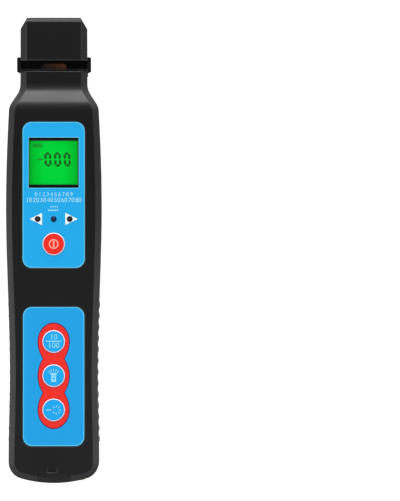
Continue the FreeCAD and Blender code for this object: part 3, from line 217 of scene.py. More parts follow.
# Printed films: polycarbonate overlays, screen-printed on the back, glued in shallow recesses of
# the front shell. The colour lies under a satin clear surface, and a pale line is painted along the
# cut edge and round the window as a highlight.

UPPER_BLUE, LOWER_BLUE = "#10a8e9", "#10a1e5"
# Painted highlight: the pale line along the films' cut edges and round the window; the white is print.
FILM_EDGE_HIGHLIGHT, PRINT_WHITE = "#5ac4ee", "#ecfcff"
FIELD_RED, FIELD_BORDER = "#f2281e", "#5a2a58"
EDGE_WIDTH = 0.45
ARROW_TIP, ARROW_BASE, ARROW_HALF = 11.2, 5.45, 2.85
FIELD_HALF, FIELD_REACH, FIELD_ARC = 7.1, 8.4, 27.0
BORDER_WIDTH = 0.48
CORNER_RADIUS, WINDOW_CORNER = 4.5, 0.1
FAR_AWAY = 99.0


def middle(name):
    """The centre of a CAD node's box, in mm."""
    low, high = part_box(name)
    return (Vector(low) + Vector(high)) / 2 / MM


def half_size(name):
    """Half of a CAD node's box, in mm."""
    low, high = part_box(name)
    return (Vector(high) - Vector(low)) / 2 / MM


def place_in_mm(tree):
    """The point being shaded, in mm, as a vector and as its x and y."""
    place = add_node(tree, "ShaderNodeTexCoord")
    scaled = add_node(
        tree, "ShaderNodeVectorMath", {0: place.outputs["Object"], "Scale": 1 / MM}, operation="SCALE"
    )
    flat = vector_maths(tree, "MULTIPLY", scaled, (1, 1, 0))
    parts = add_node(tree, "ShaderNodeSeparateXYZ", {0: flat})
    return flat, parts.outputs[0], parts.outputs[1]


def beyond_frame(tree, point, centre, half, radius):
    """How far a point lies outside a rounded rectangle, in mm; negative within it."""
    shifted = vector_maths(tree, "SUBTRACT", point, (centre.x, centre.y, 0))
    folded = vector_maths(tree, "ABSOLUTE", shifted)
    inner = (half.x - radius, half.y - radius, 0)
    corner = vector_maths(tree, "SUBTRACT", folded, inner)
    kept = vector_maths(tree, "MAXIMUM", corner, (0, 0, 0))
    reach = vector_maths(tree, "LENGTH", kept)
    return maths(tree, "SUBTRACT", reach.outputs["Value"], radius)


def over(tree, below, mask, code):
    """One printed colour over another where the mask is 1."""
    return mixed(tree, mask, below, linear(code))


def film_shader(tree, colour):
    """The clear satin surface over the print."""
    shader = add_node(
        tree, "ShaderNodeBsdfPrincipled",
        {"Base Color": colour, "Roughness": 0.42, "Specular IOR Level": 0.2, "IOR": 1.58},
    )
    add_node(tree, "ShaderNodeOutputMaterial", {"Surface": shader})


def film_ground(tree, point, film, blue):
    """Blue ground with a pale line painted along the film's cut edge as a highlight."""
    past = beyond_frame(tree, point, middle(film), half_size(film), CORNER_RADIUS)
    edge = maths(tree, "GREATER_THAN", past, -EDGE_WIDTH)
    base = add_node(tree, "ShaderNodeRGB")
    base.outputs[0].default_value = linear(blue)
    return over(tree, base.outputs[0], edge, FILM_EDGE_HIGHLIGHT)


def upper_film():
    """Ground, a pale line painted round the window as a highlight, and the two white arrows round the outer
    lamps.
    """
    material, tree = new_material("upper_polycarbonate_film")
    point, x, y = place_in_mm(tree)
    colour = film_ground(tree, point, "upper_overlay", UPPER_BLUE)
    # The pale line round the window is a painted highlight.
    past = beyond_frame(tree, point, middle("display_lens"), half_size("display_lens"), WINDOW_CORNER)
    ring = maths(tree, "LESS_THAN", past, EDGE_WIDTH)
    colour = over(tree, colour, ring, FILM_EDGE_HIGHLIGHT)
    away = maths(tree, "ABSOLUTE", x)
    lift = maths(tree, "SUBTRACT", y, middle("indicator_lamp_left").y)
    height = maths(tree, "ABSOLUTE", lift)
    slope = ARROW_HALF / (ARROW_TIP - ARROW_BASE)
    room = maths(tree, "MULTIPLY_ADD", away, -slope, ARROW_TIP * slope)
    within = maths(tree, "LESS_THAN", height, room)
    outside = maths(tree, "GREATER_THAN", away, ARROW_BASE)
    arrow = maths(tree, "MULTIPLY", within, outside)
    film_shader(tree, over(tree, colour, arrow, PRINT_WHITE))
    return material


def beyond_flanks(tree, x, y, rows):
    """How far a point lies outside the field's flanks, flat arcs that bulge at each row."""
    pitch = rows[1] - rows[0]
    away = maths(tree, "ABSOLUTE", x)
    step = maths(tree, "ADD", y, pitch / 2 - rows[0])
    turn = maths(tree, "FLOORED_MODULO", step, pitch)
    drift = maths(tree, "SUBTRACT", turn, pitch / 2)
    square = maths(tree, "MULTIPLY", drift, drift)
    flank = maths(tree, "MULTIPLY_ADD", square, 1 / FIELD_ARC, -FIELD_HALF)
    near = maths(tree, "ADD", away, flank)
    off_centre = maths(tree, "SUBTRACT", y, rows[1])
    from_centre = maths(tree, "ABSOLUTE", off_centre)
    past_rows = maths(tree, "GREATER_THAN", from_centre, pitch)
    return maths(tree, "MULTIPLY_ADD", past_rows, FAR_AWAY, near)


def beyond_end(tree, point, row):
    """How far a point lies outside the ellipse that rounds an end of the field."""
    shifted = vector_maths(tree, "SUBTRACT", point, (0, row, 0))
    shrunk = vector_maths(tree, "MULTIPLY", shifted, (1 / FIELD_HALF, 1 / FIELD_REACH, 0))
    reach = vector_maths(tree, "LENGTH", shrunk)
    return maths(tree, "MULTIPLY_ADD", reach.outputs["Value"], FIELD_HALF, -FIELD_HALF)


def lower_film():
    """Ground and the red field with three lobes behind the keys, inside a thin dark border."""
    material, tree = new_material("lower_polycarbonate_film")
    point, x, y = place_in_mm(tree)
    colour = film_ground(tree, point, "lower_overlay", LOWER_BLUE)
    rows = [middle(name).y for name in ("laser_key", "lamp_key", "unit_key")]
    distance = beyond_flanks(tree, x, y, rows)
    for row in (rows[0], rows[-1]):
        distance = maths(tree, "MINIMUM", distance, beyond_end(tree, point, row))
    border = maths(tree, "LESS_THAN", distance, BORDER_WIDTH)
    field = maths(tree, "LESS_THAN", distance, 0.0)
    colour = over(tree, colour, border, FIELD_BORDER)
    film_shader(tree, over(tree, colour, field, FIELD_RED))
    return material


dress(upper_film(), "upper_overlay")
dress(lower_film(), "lower_overlay")

# Scale under the display: two close lines of plain numbers, and two short rows of bars above the
# middle lamp. Pale ink, screen-printed on the film.

INK = 0.02
FILM_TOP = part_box("upper_overlay")[1][2] / MM
WINDOW_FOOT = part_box("display_lens")[0][1] / MM
UNITS_DROP, UNITS_TALL, UNITS_PITCH = 3.25, 1.9, 1.84
TENS_DROP, TENS_TALL, TENS_PITCH = 5.9, 2.1, 3.3
SIGNAL_STEP, SIGNAL_WIDE = 1.0, 0.65
UPPER_BARS, UPPER_FIRST, UPPER_DROP, UPPER_TALL = 4, -1.3, 8.95, 0.5
LOWER_BARS, LOWER_FIRST, LOWER_DROP, LOWER_TALL = 5, -2.3, 10.6, 0.7
CAPITAL_SHARE = 0.7


def flat_ink(name, colour, roughness=0.5):
    """An even coat of printing ink."""
    material, tree = new_material(name)
    shader = add_node(
        tree, "ShaderNodeBsdfPrincipled",
        {"Base Color": linear(colour), "Roughness": roughness, "Specular IOR Level": 0.25},
    )
    add_node(tree, "ShaderNodeOutputMaterial", {"Surface": shader})
    return material


def bar_row_tree():
    """A row of equal upright bars, centred, for printed graduations."""
    kinds = {"Count": "Int", "First": "Vector", "Step": "Vector", "Bar": "Vector", "Ink": "Material"}
    tree, given = geometry_group("bar_row", kinds)
    row = add_node(
        tree, "GeometryNodeMeshLine",
        {"Count": given["Count"], "Start Location": given["First"], "Offset": given["Step"]}, mode="OFFSET",
    )
    bar = add_node(tree, "GeometryNodeMeshCube", {"Size": given["Bar"]})
    set_out = add_node(tree, "GeometryNodeInstanceOnPoints", {"Points": row, "Instance": bar})
    real = add_node(tree, "GeometryNodeRealizeInstances", {0: set_out})
    inked = add_node(tree, "GeometryNodeSetMaterial", {0: real, "Material": given["Ink"]})
    add_node(tree, "NodeGroupOutput", {0: inked})
    return tree


def fan_tree():
    """Equal bars set out like rays round a point."""
    kinds = {
        "Count": "Int", "First Angle": "Float", "Step Angle": "Float", "Radius": "Float",
        "Centre": "Vector", "Bar": "Vector", "Ink": "Material",
    }
    tree, given = geometry_group("ray_fan", kinds)
    points = add_node(
        tree, "GeometryNodeMeshLine", {"Count": given["Count"], "Offset": (0, 0, 0)}, mode="OFFSET"
    )
    index = add_node(tree, "GeometryNodeInputIndex")
    angle = maths(tree, "MULTIPLY_ADD", index, given["Step Angle"], given["First Angle"])
    across = maths(tree, "COSINE", angle)
    along = maths(tree, "SINE", angle)
    way = add_node(tree, "ShaderNodeCombineXYZ", {0: across, 1: along})
    arm = add_node(tree, "ShaderNodeVectorMath", {0: way, "Scale": given["Radius"]}, operation="SCALE")
    spot = vector_maths(tree, "ADD", arm, given["Centre"])
    moved = add_node(tree, "GeometryNodeSetPosition", {0: points, "Position": spot})
    turn = add_node(tree, "ShaderNodeCombineXYZ", {2: angle})
    bar = add_node(tree, "GeometryNodeMeshCube", {"Size": given["Bar"]})
    rays = add_node(
        tree, "GeometryNodeInstanceOnPoints", {"Points": moved, "Instance": bar, "Rotation": turn}
    )
    real = add_node(tree, "GeometryNodeRealizeInstances", {0: rays})
    inked = add_node(tree, "GeometryNodeSetMaterial", {0: real, "Material": given["Ink"]})
    add_node(tree, "NodeGroupOutput", {0: inked})
    return tree


BAR_ROW, RAY_FAN = bar_row_tree(), fan_tree()


def grown(name, tree, **values):
    """The plain mesh that a geometry tree gives with those inputs, as a new piece."""
    seed = bpy.data.objects.new(name + "_seed", bpy.data.meshes.new(name + "_seed"))
    bpy.context.collection.objects.link(seed)
    modifier = seed.modifiers.new(tree.name, "NODES")
    modifier.node_group = tree
    inputs = [socket for socket in tree.interface.items_tree if socket.in_out == "INPUT"]
    sockets = {socket.name.replace(" ", "_").lower(): socket.identifier for socket in inputs}
    for key, value in values.items():
        modifier[sockets[key]] = value
    depsgraph = bpy.context.evaluated_depsgraph_get()
    mesh = bpy.data.meshes.new_from_object(seed.evaluated_get(depsgraph))
    bpy.data.objects.remove(seed)
    mesh.name = name
    piece = bpy.data.objects.new(name, mesh)
    bpy.context.collection.objects.link(piece)
    return piece


def metres(*millimetres):
    """A vector given in mm."""
    return Vector(millimetres) * MM


def printed_words(name, words, tall, x, y, z, ink):
    """Plain numbers as a thin coat of ink, x and y being the middle of the line, in mm."""
    curve = bpy.data.curves.new(name + "_line", "FONT")
    curve.body = words
    curve.size = tall * MM / CAPITAL_SHARE
    curve.extrude = INK / 2 * MM
    curve.align_x = "CENTER"
    curve.align_y = "CENTER"
    curve.resolution_u = 3
    line = bpy.data.objects.new(name + "_line", curve)
    bpy.context.collection.objects.link(line)
    depsgraph = bpy.context.evaluated_depsgraph_get()
    mesh = bpy.data.meshes.new_from_object(line.evaluated_get(depsgraph))
    bpy.data.objects.remove(line)
    mesh.name = name
    for vertex in mesh.vertices:
        vertex.co += metres(x, y, z + INK / 2)
    mesh.materials.clear()
    mesh.materials.append(ink)
    piece = bpy.data.objects.new(name, mesh)
    bpy.context.collection.objects.link(piece)
    return piece


PALE_INK = flat_ink("pale_screen_ink", "#a4e2f6")


def number_line(name, numbers, tall, pitch, drop):
    """A line of plain numbers under the window, evenly spaced about the middle."""
    for i, number in enumerate(numbers):
        x = (i - (len(numbers) - 1) / 2) * pitch
        digits = printed_words(f"{name}_{number}", number, tall, x, WINDOW_FOOT - drop, FILM_TOP, PALE_INK)
        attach(digits, "case")


number_line("scale_unit", "0123456789", UNITS_TALL, UNITS_PITCH, UNITS_DROP)
number_line("scale_ten", [str(10 * i) for i in range(1, 9)], TENS_TALL, TENS_PITCH, TENS_DROP)


def signal_bars(name, count, first, drop, tall):
    """A short row of bars over the middle lamp."""
    bars = grown(
        name, BAR_ROW, count=count, step=metres(SIGNAL_STEP, 0, 0),
        first=metres(first, WINDOW_FOOT - drop, FILM_TOP + INK / 2),
        bar=metres(SIGNAL_WIDE, tall, INK), ink=PALE_INK,
    )
    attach(bars, "case")


signal_bars("signal_bars_upper", UPPER_BARS, UPPER_FIRST, UPPER_DROP, UPPER_TALL)
signal_bars("signal_bars_lower", LOWER_BARS, LOWER_FIRST, LOWER_DROP, LOWER_TALL)

# Display: a lit liquid-crystal cell under a clear acrylic lens. The cell glows an even green, a
# little darker towards its sides, and its segments are a darker green.

LIT_GREEN, LIT_SIDE = "#02d63c", "#04bd2c"
SEGMENT_GREEN, FAINT_GREEN = "#046a10", "#0a9020"
EVEN_HALF, CELL_HALF = 4.0, 11.5
CELL_GLOW = 0.25


def lit_cell():
    """Backlit green glass."""
    material, tree = new_material("backlit_liquid_crystal_cell")
    _, x, _ = place_in_mm(tree)
    away = maths(tree, "ABSOLUTE", x)
    side = ramp(tree, away, EVEN_HALF, CELL_HALF)
    colour = mixed(tree, side, linear(LIT_GREEN), linear(LIT_SIDE))
    shader = add_node(
        tree, "ShaderNodeBsdfPrincipled",
        {
            "Base Color": colour, "Roughness": 0.4, "Specular IOR Level": 0.0,
            "Emission Color": colour, "Emission Strength": CELL_GLOW,
        },
    )
    add_node(tree, "ShaderNodeOutputMaterial", {"Surface": shader})
    return material


def clear_lens():
    """Clear acrylic that only adds a faint surface gloss."""
    material, tree = new_material("clear_acrylic_lens")
    through = add_node(tree, "ShaderNodeBsdfTransparent", {"Color": (1, 1, 1, 1)})
    gloss = add_node(tree, "ShaderNodeBsdfGlossy", {"Roughness": 0.06})
    fresnel = add_node(tree, "ShaderNodeFresnel", {"IOR": 1.1})
    shader = add_node(tree, "ShaderNodeMixShader", {0: fresnel, 1: through, 2: gloss})
    add_node(tree, "ShaderNodeOutputMaterial", {"Surface": shader})
    return material


dress(lit_cell(), "display_glass")
dress(clear_lens(), "display_lens")
dress(moulded_plastic("display_frame_abs", "#121212", 0.5, grain=0.3, depth=0.01), "display_frame")
dress(flat_ink("frosted_light_guide", "#e8f5ea"), "display_backlight")
dress(flat_ink("striped_silicone_strip", "#9a9aa0", 0.7), "rubber_connector_lower", "rubber_connector_upper")

CELL_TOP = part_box("display_glass")[1][2] / MM
DIGIT_TALL, DIGIT_WIDE = 5.6, 2.15
DIGIT_STROKE, DIGIT_SLANT, DIGIT_GAP = 1.1, 0.06, 0.12
DIGIT_FIRST, DIGIT_PITCH, DIGIT_DROP = -2.7, 4.5, 10.15
POINT_SIZE, POINT_SHIFT = 0.5, 0.2
MINUS_MIDDLE, MINUS_WIDE, MINUS_TALL = -6.3, 2.7, 0.6
GAUGE_MIDDLE, GAUGE_DROP, GAUGE_WIDE, GAUGE_TALL = -7.6, 3.6, 3.9, 1.5
GAUGE_LINE, GAUGE_STEP, GAUGE_BAR = 0.24, 1.15, 0.8
KNOB_WIDE, KNOB_TALL = 0.3, 0.6
CELL_HEAD = middle("display_lens").y + half_size("display_lens").y
DIGIT_Y = CELL_HEAD - DIGIT_DROP


def prisms(name, outlines, z, thick, material):
    """Flat prisms on given outlines of (x, y), in mm, standing on height z."""
    mesh = bpy.data.meshes.new(name)
    shape = bmesh.new()
    for outline in outlines:
        area = sum(a[0] * b[1] - b[0] * a[1] for a, b in zip(outline, outline[1:] + outline[:1]))
        ring = outline if area > 0 else outline[::-1]
        low = [shape.verts.new(metres(x, y, z)) for x, y in ring]
        high = [shape.verts.new(metres(x, y, z + thick)) for x, y in ring]
        shape.faces.new(high)
        shape.faces.new(low[::-1])
        for i in range(len(ring)):
            j = (i + 1) % len(ring)
            shape.faces.new((low[i], low[j], high[j], high[i]))
    shape.to_mesh(mesh)
    shape.free()
    mesh.materials.append(material)
    piece = bpy.data.objects.new(name, mesh)
    bpy.context.collection.objects.link(piece)
    return piece


def segment(start, end, stroke):
    """One pointed segment of a digit as an outline."""
    start, end = Vector(start), Vector(end)
    along = (end - start).normalized() * stroke / 2
    across = Vector((-along.y, along.x))
    left = (start, start + along + across, end - along + across)
    right = (end, end - along - across, start + along - across)
    return [tuple(point) for point in left + right]


def zero_outlines(middle_x, middle_y):
    """Six lit segments of a nought, leaning a little."""
    w, h, gap = DIGIT_WIDE / 2, DIGIT_TALL / 2, DIGIT_GAP
    lines = [((-w + gap, h), (w - gap, h)), ((-w + gap, -h), (w - gap, -h))]
    for side in (-w, w):
        lines += [((side, gap), (side, h - gap)), ((side, -h + gap), (side, -gap))]
    outlines = []
    for start, end in lines:
        shape = segment(start, end, DIGIT_STROKE)
        outlines.append([(middle_x + x - y * DIGIT_SLANT, middle_y + y) for x, y in shape])
    return outlines


def box_outline(x, y, wide, tall):
    """A rectangle about its middle."""
    left, right = x - wide / 2, x + wide / 2
    low, high = y - tall / 2, y + tall / 2
    return [(left, low), (right, low), (right, high), (left, high)]


SEGMENT_INK = flat_ink("segment_green", SEGMENT_GREEN, 0.4)
FAINT_INK = flat_ink("faint_segment_green", FAINT_GREEN, 0.4)
for i in range(3):
    outlines = zero_outlines(DIGIT_FIRST + i * DIGIT_PITCH, DIGIT_Y)
    nought = prisms(f"digit_{i + 1}", outlines, CELL_TOP, INK, SEGMENT_INK)
    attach(nought, "case")


def gauge_outlines(x, y):
    """A small cell sign: its frame, the knob at its end and three bars inside."""
    half_wide, half_tall = GAUGE_WIDE / 2, GAUGE_TALL / 2
    inner = GAUGE_TALL - GAUGE_LINE
    outlines = [
        box_outline(x, y + half_tall, GAUGE_WIDE, GAUGE_LINE),
        box_outline(x, y - half_tall, GAUGE_WIDE, GAUGE_LINE),
        box_outline(x - half_wide, y, GAUGE_LINE, inner),
        box_outline(x + half_wide, y, GAUGE_LINE, inner),
        box_outline(x + half_wide + KNOB_WIDE, y, KNOB_WIDE, KNOB_TALL),
    ]
    for i in (-1, 0, 1):
        outlines.append(box_outline(x + i * GAUGE_STEP, y, GAUGE_BAR, GAUGE_TALL - KNOB_TALL))
    return outlines


point_x = DIGIT_FIRST + DIGIT_PITCH / 2 + POINT_SHIFT
point_box = box_outline(point_x, DIGIT_Y - DIGIT_TALL / 2, POINT_SIZE, POINT_SIZE)
minus_box = box_outline(MINUS_MIDDLE, DIGIT_Y, MINUS_WIDE, MINUS_TALL)
gauge_boxes = gauge_outlines(GAUGE_MIDDLE, CELL_HEAD - GAUGE_DROP)
dot = prisms("decimal_point", [point_box], CELL_TOP, INK, SEGMENT_INK)
minus = prisms("minus_segment", [minus_box], CELL_TOP, INK, FAINT_INK)
gauge = prisms("charge_gauge", gauge_boxes, CELL_TOP, INK, FAINT_INK)
for piece in (dot, minus, gauge):
    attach(piece, "case")

# Indicator lamps: small smoked epoxy lenses that stand on the main board and show through holes in
# the film. They are dark when unlit, each with a faint paler spot in its middle, a painted highlight.

# Painted highlight: the full core and outer reach, in mm, of the paler spot in each lens.
GLINT_CORE, GLINT_RIM = 0.15, 0.7


def smoked_lens(name, tint, glint_colour):
    """Dark epoxy with a paler spot in its middle, a painted highlight."""
    material, tree = new_material(name)
    _, x, y = place_in_mm(tree)
    away = maths(tree, "ABSOLUTE", x)
    spacing = middle("indicator_lamp_right").x
    folded = maths(tree, "SUBTRACT", away, spacing / 2)
    aside = maths(tree, "ABSOLUTE", folded)
    near = maths(tree, "SUBTRACT", spacing / 2, aside)
    lift = maths(tree, "SUBTRACT", y, middle("indicator_lamp_left").y)
    spot = add_node(tree, "ShaderNodeCombineXYZ", {0: near, 1: lift})
    reach = vector_maths(tree, "LENGTH", spot)
    # The paler spot in the middle of each lens is a painted highlight.
    glow = ramp(tree, reach.outputs["Value"], GLINT_CORE, GLINT_RIM, 1.0, 0.0)
    colour = mixed(tree, glow, linear(tint), linear(glint_colour))
    shader = add_node(
        tree, "ShaderNodeBsdfPrincipled",
        {"Base Color": colour, "Roughness": 0.25, "Specular IOR Level": 0.2, "IOR": 1.54},
    )
    add_node(tree, "ShaderNodeOutputMaterial", {"Surface": shader})
    return material


dress(smoked_lens("smoked_epoxy_lens", "#0b0a0c", "#5a4448"), "indicator_lamp_left", "indicator_lamp_right")
dress(smoked_lens("smoked_blue_epoxy_lens", "#0c2c4a", "#2c3a4c"), "indicator_lamp_middle")

# Keys: silicone caps with a printed face, each with a white ring round a coloured disc, and a symbol
# in pale ink. They stand a little above the film.

RING_INNER, LINE_INNER = 4.85, 4.6
KEY_BLUE, KEY_LINE_BLUE = "#14a8f0", "#1f86c8"
KEY_RED, KEY_LINE_RED = "#f02818", "#c4181c"
RING_WHITE = "#dfe2f6"
POWER_RADIUS, POWER_STROKE, CIRCLE_TURNS = 2.0, 0.5, 48
POWER_BAR_WIDE, POWER_BAR_TALL = 0.6, 3.0
NUMBER_TALL, UPPER_NUMBER, LOWER_NUMBER = 2.6, 2.1, -1.9
UNIT_BAR_WIDE, UNIT_BAR_TALL, UNIT_BAR_RISE = 7.2, 0.45, 0.15
TORCH_WIDE, TORCH_HALF, TORCH_TOP = 1.7, 1.15, 1.35
TORCH_NECK, TORCH_BARREL, TORCH_FOOT = 0.1, -0.15, -2.9
BUTTON_HALF, BUTTON_TOP, BUTTON_FOOT = 0.5, -0.9, -1.7
TORCH_RAYS, TORCH_RAY_REACH, TORCH_RAY_DROP = 5, 3.3, 0.6
TORCH_RAY_LONG, TORCH_RAY_THICK = 1.1, 0.38
LASER_RAYS, LASER_RAY_REACH, LASER_SPOT = 8, 1.75, 1.2
LASER_RAY_LONG, LASER_RAY_THICK = 1.0, 0.36
BEAM_MIDDLE, BEAM_LONG, BEAM_THICK = -1.9, 3.2, 0.45
KEY_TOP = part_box("power_key")[1][2] / MM


def printed_cap(name, key, disc, line):
    """Silicone cap printed with a ring and a disc about its own middle."""
    material, tree = new_material(name)
    point, x, y = place_in_mm(tree)
    centre = middle(key)
    shifted = vector_maths(tree, "SUBTRACT", point, (centre.x, centre.y, 0))
    reach = vector_maths(tree, "LENGTH", shifted)
    base = add_node(tree, "ShaderNodeRGB")
    base.outputs[0].default_value = linear(disc)
    rim = maths(tree, "GREATER_THAN", reach.outputs["Value"], LINE_INNER)
    ring = maths(tree, "GREATER_THAN", reach.outputs["Value"], RING_INNER)
    colour = over(tree, over(tree, base.outputs[0], rim, line), ring, RING_WHITE)
    shader = add_node(
        tree, "ShaderNodeBsdfPrincipled",
        {"Base Color": colour, "Roughness": 0.5, "Specular IOR Level": 0.22, "IOR": 1.43},
    )
    add_node(tree, "ShaderNodeOutputMaterial", {"Surface": shader})
    return material


dress(printed_cap("red_printed_silicone", "power_key", KEY_RED, KEY_LINE_RED), "power_key")
for key in ("unit_key", "lamp_key", "laser_key"):
    dress(printed_cap(f"{key}_printed_silicone", key, KEY_BLUE, KEY_LINE_BLUE), key)

PALE_RED_INK = flat_ink("pale_ink_on_red", "#ffb3a6")
PALE_BLUE_INK = flat_ink("pale_ink_on_blue", "#98dff6")


def circle_spots(x, y, radius):
    """Points round a circle."""
    angles = [i * math.tau / CIRCLE_TURNS for i in range(CIRCLE_TURNS)]
    return [(x + radius * math.cos(angle), y + radius * math.sin(angle)) for angle in angles]


def circle_band(name, x, y, radius, stroke, material):
    """A thin printed ring on a key."""
    mesh = bpy.data.meshes.new(name)
    shape = bmesh.new()
    inner, outer = radius - stroke / 2, radius + stroke / 2
    low, high = KEY_TOP, KEY_TOP + INK
    loops = []
    for reach, z in ((inner, low), (outer, low), (outer, high), (inner, high)):
        loops.append([shape.verts.new(metres(px, py, z)) for px, py in circle_spots(x, y, reach)])
    for a, b in zip(loops, loops[1:] + loops[:1]):
        for i in range(CIRCLE_TURNS):
            j = (i + 1) % CIRCLE_TURNS
            shape.faces.new((a[i], a[j], b[j], b[i]))
    bmesh.ops.recalc_face_normals(shape, faces=shape.faces)
    shape.to_mesh(mesh)
    shape.free()
    mesh.materials.append(material)
    piece = bpy.data.objects.new(name, mesh)
    bpy.context.collection.objects.link(piece)
    return piece


def on_key(piece, key):
    """The symbol moves with its key."""
    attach(piece, key)


def power_sign():
    """A ring with an upright bar."""
    centre = middle("power_key")
    ring = circle_band("power_ring", centre.x, centre.y, POWER_RADIUS, POWER_STROKE, PALE_RED_INK)
    on_key(ring, "power_key")
    outline = box_outline(centre.x, centre.y, POWER_BAR_WIDE, POWER_BAR_TALL)
    on_key(prisms("power_bar", [outline], KEY_TOP, INK, PALE_RED_INK), "power_key")


def unit_sign():
    """One plain number over another with a bar between them."""
    centre = middle("unit_key")
    upper_y, lower_y = centre.y + UPPER_NUMBER, centre.y + LOWER_NUMBER
    upper = printed_words("unit_upper_number", "10", NUMBER_TALL, centre.x, upper_y, KEY_TOP, PALE_BLUE_INK)
    on_key(upper, "unit_key")
    outline = box_outline(centre.x, centre.y + UNIT_BAR_RISE, UNIT_BAR_WIDE, UNIT_BAR_TALL)
    on_key(prisms("unit_bar", [outline], KEY_TOP, INK, PALE_BLUE_INK), "unit_key")
    lower = printed_words("unit_lower_number", "100", NUMBER_TALL, centre.x, lower_y, KEY_TOP, PALE_BLUE_INK)
    on_key(lower, "unit_key")


def four_corners(centre, head_half, head_y, foot_half, foot_y):
    """A shape with level head and foot, about the middle of its key."""
    corners = [(-head_half, head_y), (-foot_half, foot_y), (foot_half, foot_y), (head_half, head_y)]
    return [(centre.x + x, centre.y + y) for x, y in corners]


def torch_sign():
    """A torch with a button, and rays over its head."""
    centre = middle("lamp_key")
    lantern = four_corners(centre, TORCH_WIDE, TORCH_TOP, TORCH_HALF, TORCH_NECK)
    handle = four_corners(centre, TORCH_HALF, TORCH_BARREL, TORCH_HALF, TORCH_FOOT)
    on_key(prisms("torch_sign", [lantern, handle], KEY_TOP, INK, PALE_BLUE_INK), "lamp_key")
    spot = four_corners(centre, BUTTON_HALF, BUTTON_TOP, BUTTON_HALF, BUTTON_FOOT)
    blue = flat_ink("blue_ink", KEY_BLUE)
    on_key(prisms("torch_sign_button", [spot], KEY_TOP + INK, INK, blue), "lamp_key")
    rays = grown(
        "torch_rays", RAY_FAN, count=TORCH_RAYS, first_angle=math.radians(50), step_angle=math.radians(20),
        radius=TORCH_RAY_REACH * MM, centre=metres(centre.x, centre.y - TORCH_RAY_DROP, KEY_TOP + INK / 2),
        bar=metres(TORCH_RAY_LONG, TORCH_RAY_THICK, INK), ink=PALE_BLUE_INK,
    )
    on_key(rays, "lamp_key")


def laser_sign():
    """A beam that ends in a spot with rays all round."""
    centre = middle("laser_key")
    rays = grown(
        "laser_rays", RAY_FAN, count=LASER_RAYS, first_angle=0.0, step_angle=math.tau / LASER_RAYS,
        radius=LASER_RAY_REACH * MM, centre=metres(centre.x + LASER_SPOT, centre.y, KEY_TOP + INK / 2),
        bar=metres(LASER_RAY_LONG, LASER_RAY_THICK, INK), ink=PALE_BLUE_INK,
    )
    on_key(rays, "laser_key")
    outline = box_outline(centre.x + BEAM_MIDDLE, centre.y, BEAM_LONG, BEAM_THICK)
    on_key(prisms("laser_beam", [outline], KEY_TOP, INK, PALE_BLUE_INK), "laser_key")


power_sign()
unit_sign()
torch_sign()
laser_sign()

# Clamp: the jaw carriage is the same black plastic. The hump
# that bends the fibre is a clear amber moulding, nearly black in the shade of the slot.

# Painted light: the hump is painted darker as the shade of the slot, and paler towards its right end as a
# highlight.
HUMP_SHADED, HUMP_LIT, HUMP_REACH = "#241814", "#582c16", 5.0


def amber_moulding():
    """Deep amber, polished, darkened as painted shade, and paler towards the right as a painted highlight.
    """
    material, tree = new_material("polished_amber_polycarbonate")
    _, x, _ = place_in_mm(tree)
    # Painted highlight: the colour grows paler from left to right.
    lit_share = ramp(tree, x, -HUMP_REACH, HUMP_REACH)
    colour = mixed(tree, lit_share, linear(HUMP_SHADED), linear(HUMP_LIT))
    shader = add_node(
        tree, "ShaderNodeBsdfPrincipled",
        {"Base Color": colour, "Roughness": 0.3, "Specular IOR Level": 0.15, "IOR": 1.58},
    )
    add_node(tree, "ShaderNodeOutputMaterial", {"Surface": shader})
    return material


JAW_BLACK = moulded_plastic(
    "jaw_acetal_satin", "#111111", 0.42, grain=0.5, depth=0.006, edge=0.15, gloss=0.3
)
dress(JAW_BLACK, "jaw_carriage")
dress(amber_moulding(), "bend_hump")
dress(moulded_plastic("detector_acetal", "#0d0d0e", 0.4, grain=0.4, depth=0.005), "detector_block")

# Metal parts: ground steel rods and pin, drawn spring wire, blackened screws, plated contacts, the
# brass laser barrel and the plated port sleeve.


def metal(name, colour, roughness, grain=0.25, depth=0.002):
    """A turned, drawn or plated metal with fine marks along it."""
    material, tree = new_material(name)
    place = add_node(tree, "ShaderNodeTexCoord")
    marks = add_node(
        tree, "ShaderNodeTexNoise",
        {"Vector": place.outputs["Object"], "Scale": 1 / (grain * MM), "Detail": 2.0},
    )
    bumped = add_node(
        tree, "ShaderNodeBump", {"Strength": 1.0, "Distance": depth * MM, "Height": marks.outputs[0]}
    )
    shader = add_node(
        tree, "ShaderNodeBsdfPrincipled",
        {"Base Color": linear(colour), "Metallic": 1.0, "Roughness": roughness, "Normal": bumped},
    )
    add_node(tree, "ShaderNodeOutputMaterial", {"Surface": shader})
    return material


GROUND_STEEL = metal("ground_steel", "#c9cacc", 0.25)
BLACK_ZINC = metal("black_zinc_steel", "#3a3b3e", 0.38)
NICKEL = metal("nickel_plate", "#d6d3c8", 0.22)
dress(GROUND_STEEL, "guide_rod_left", "guide_rod_right", "flap_pin")
dress(metal("drawn_spring_wire", "#9da0a4", 0.3), "return_spring_left", "return_spring_right")
dress(BLACK_ZINC, *[name for name in NODES if "screw" in name])
dress(NICKEL, *[name for name in NODES if name.startswith("contact_")])
dress(metal("plated_port_sleeve", "#c4c6ca", 0.2), "laser_port")
dress(metal("turned_brass", "#d9b46a", 0.28), "laser_module")
dress(metal("plated_diode_can", "#cfc6a8", 0.25), "photodiode_left", "photodiode_right")

# Electronics on the main board: green solder mask on glass laminate, black moulded chips, buzzer and
# key switches. The torch lamp is a clear epoxy lens in the end face.

MASK_GREEN, TRACK_GREEN = "#0b5a2a", "#1c7a3e"
TRACK_SCALE, TRACK_WIDE = 0.35, 0.03


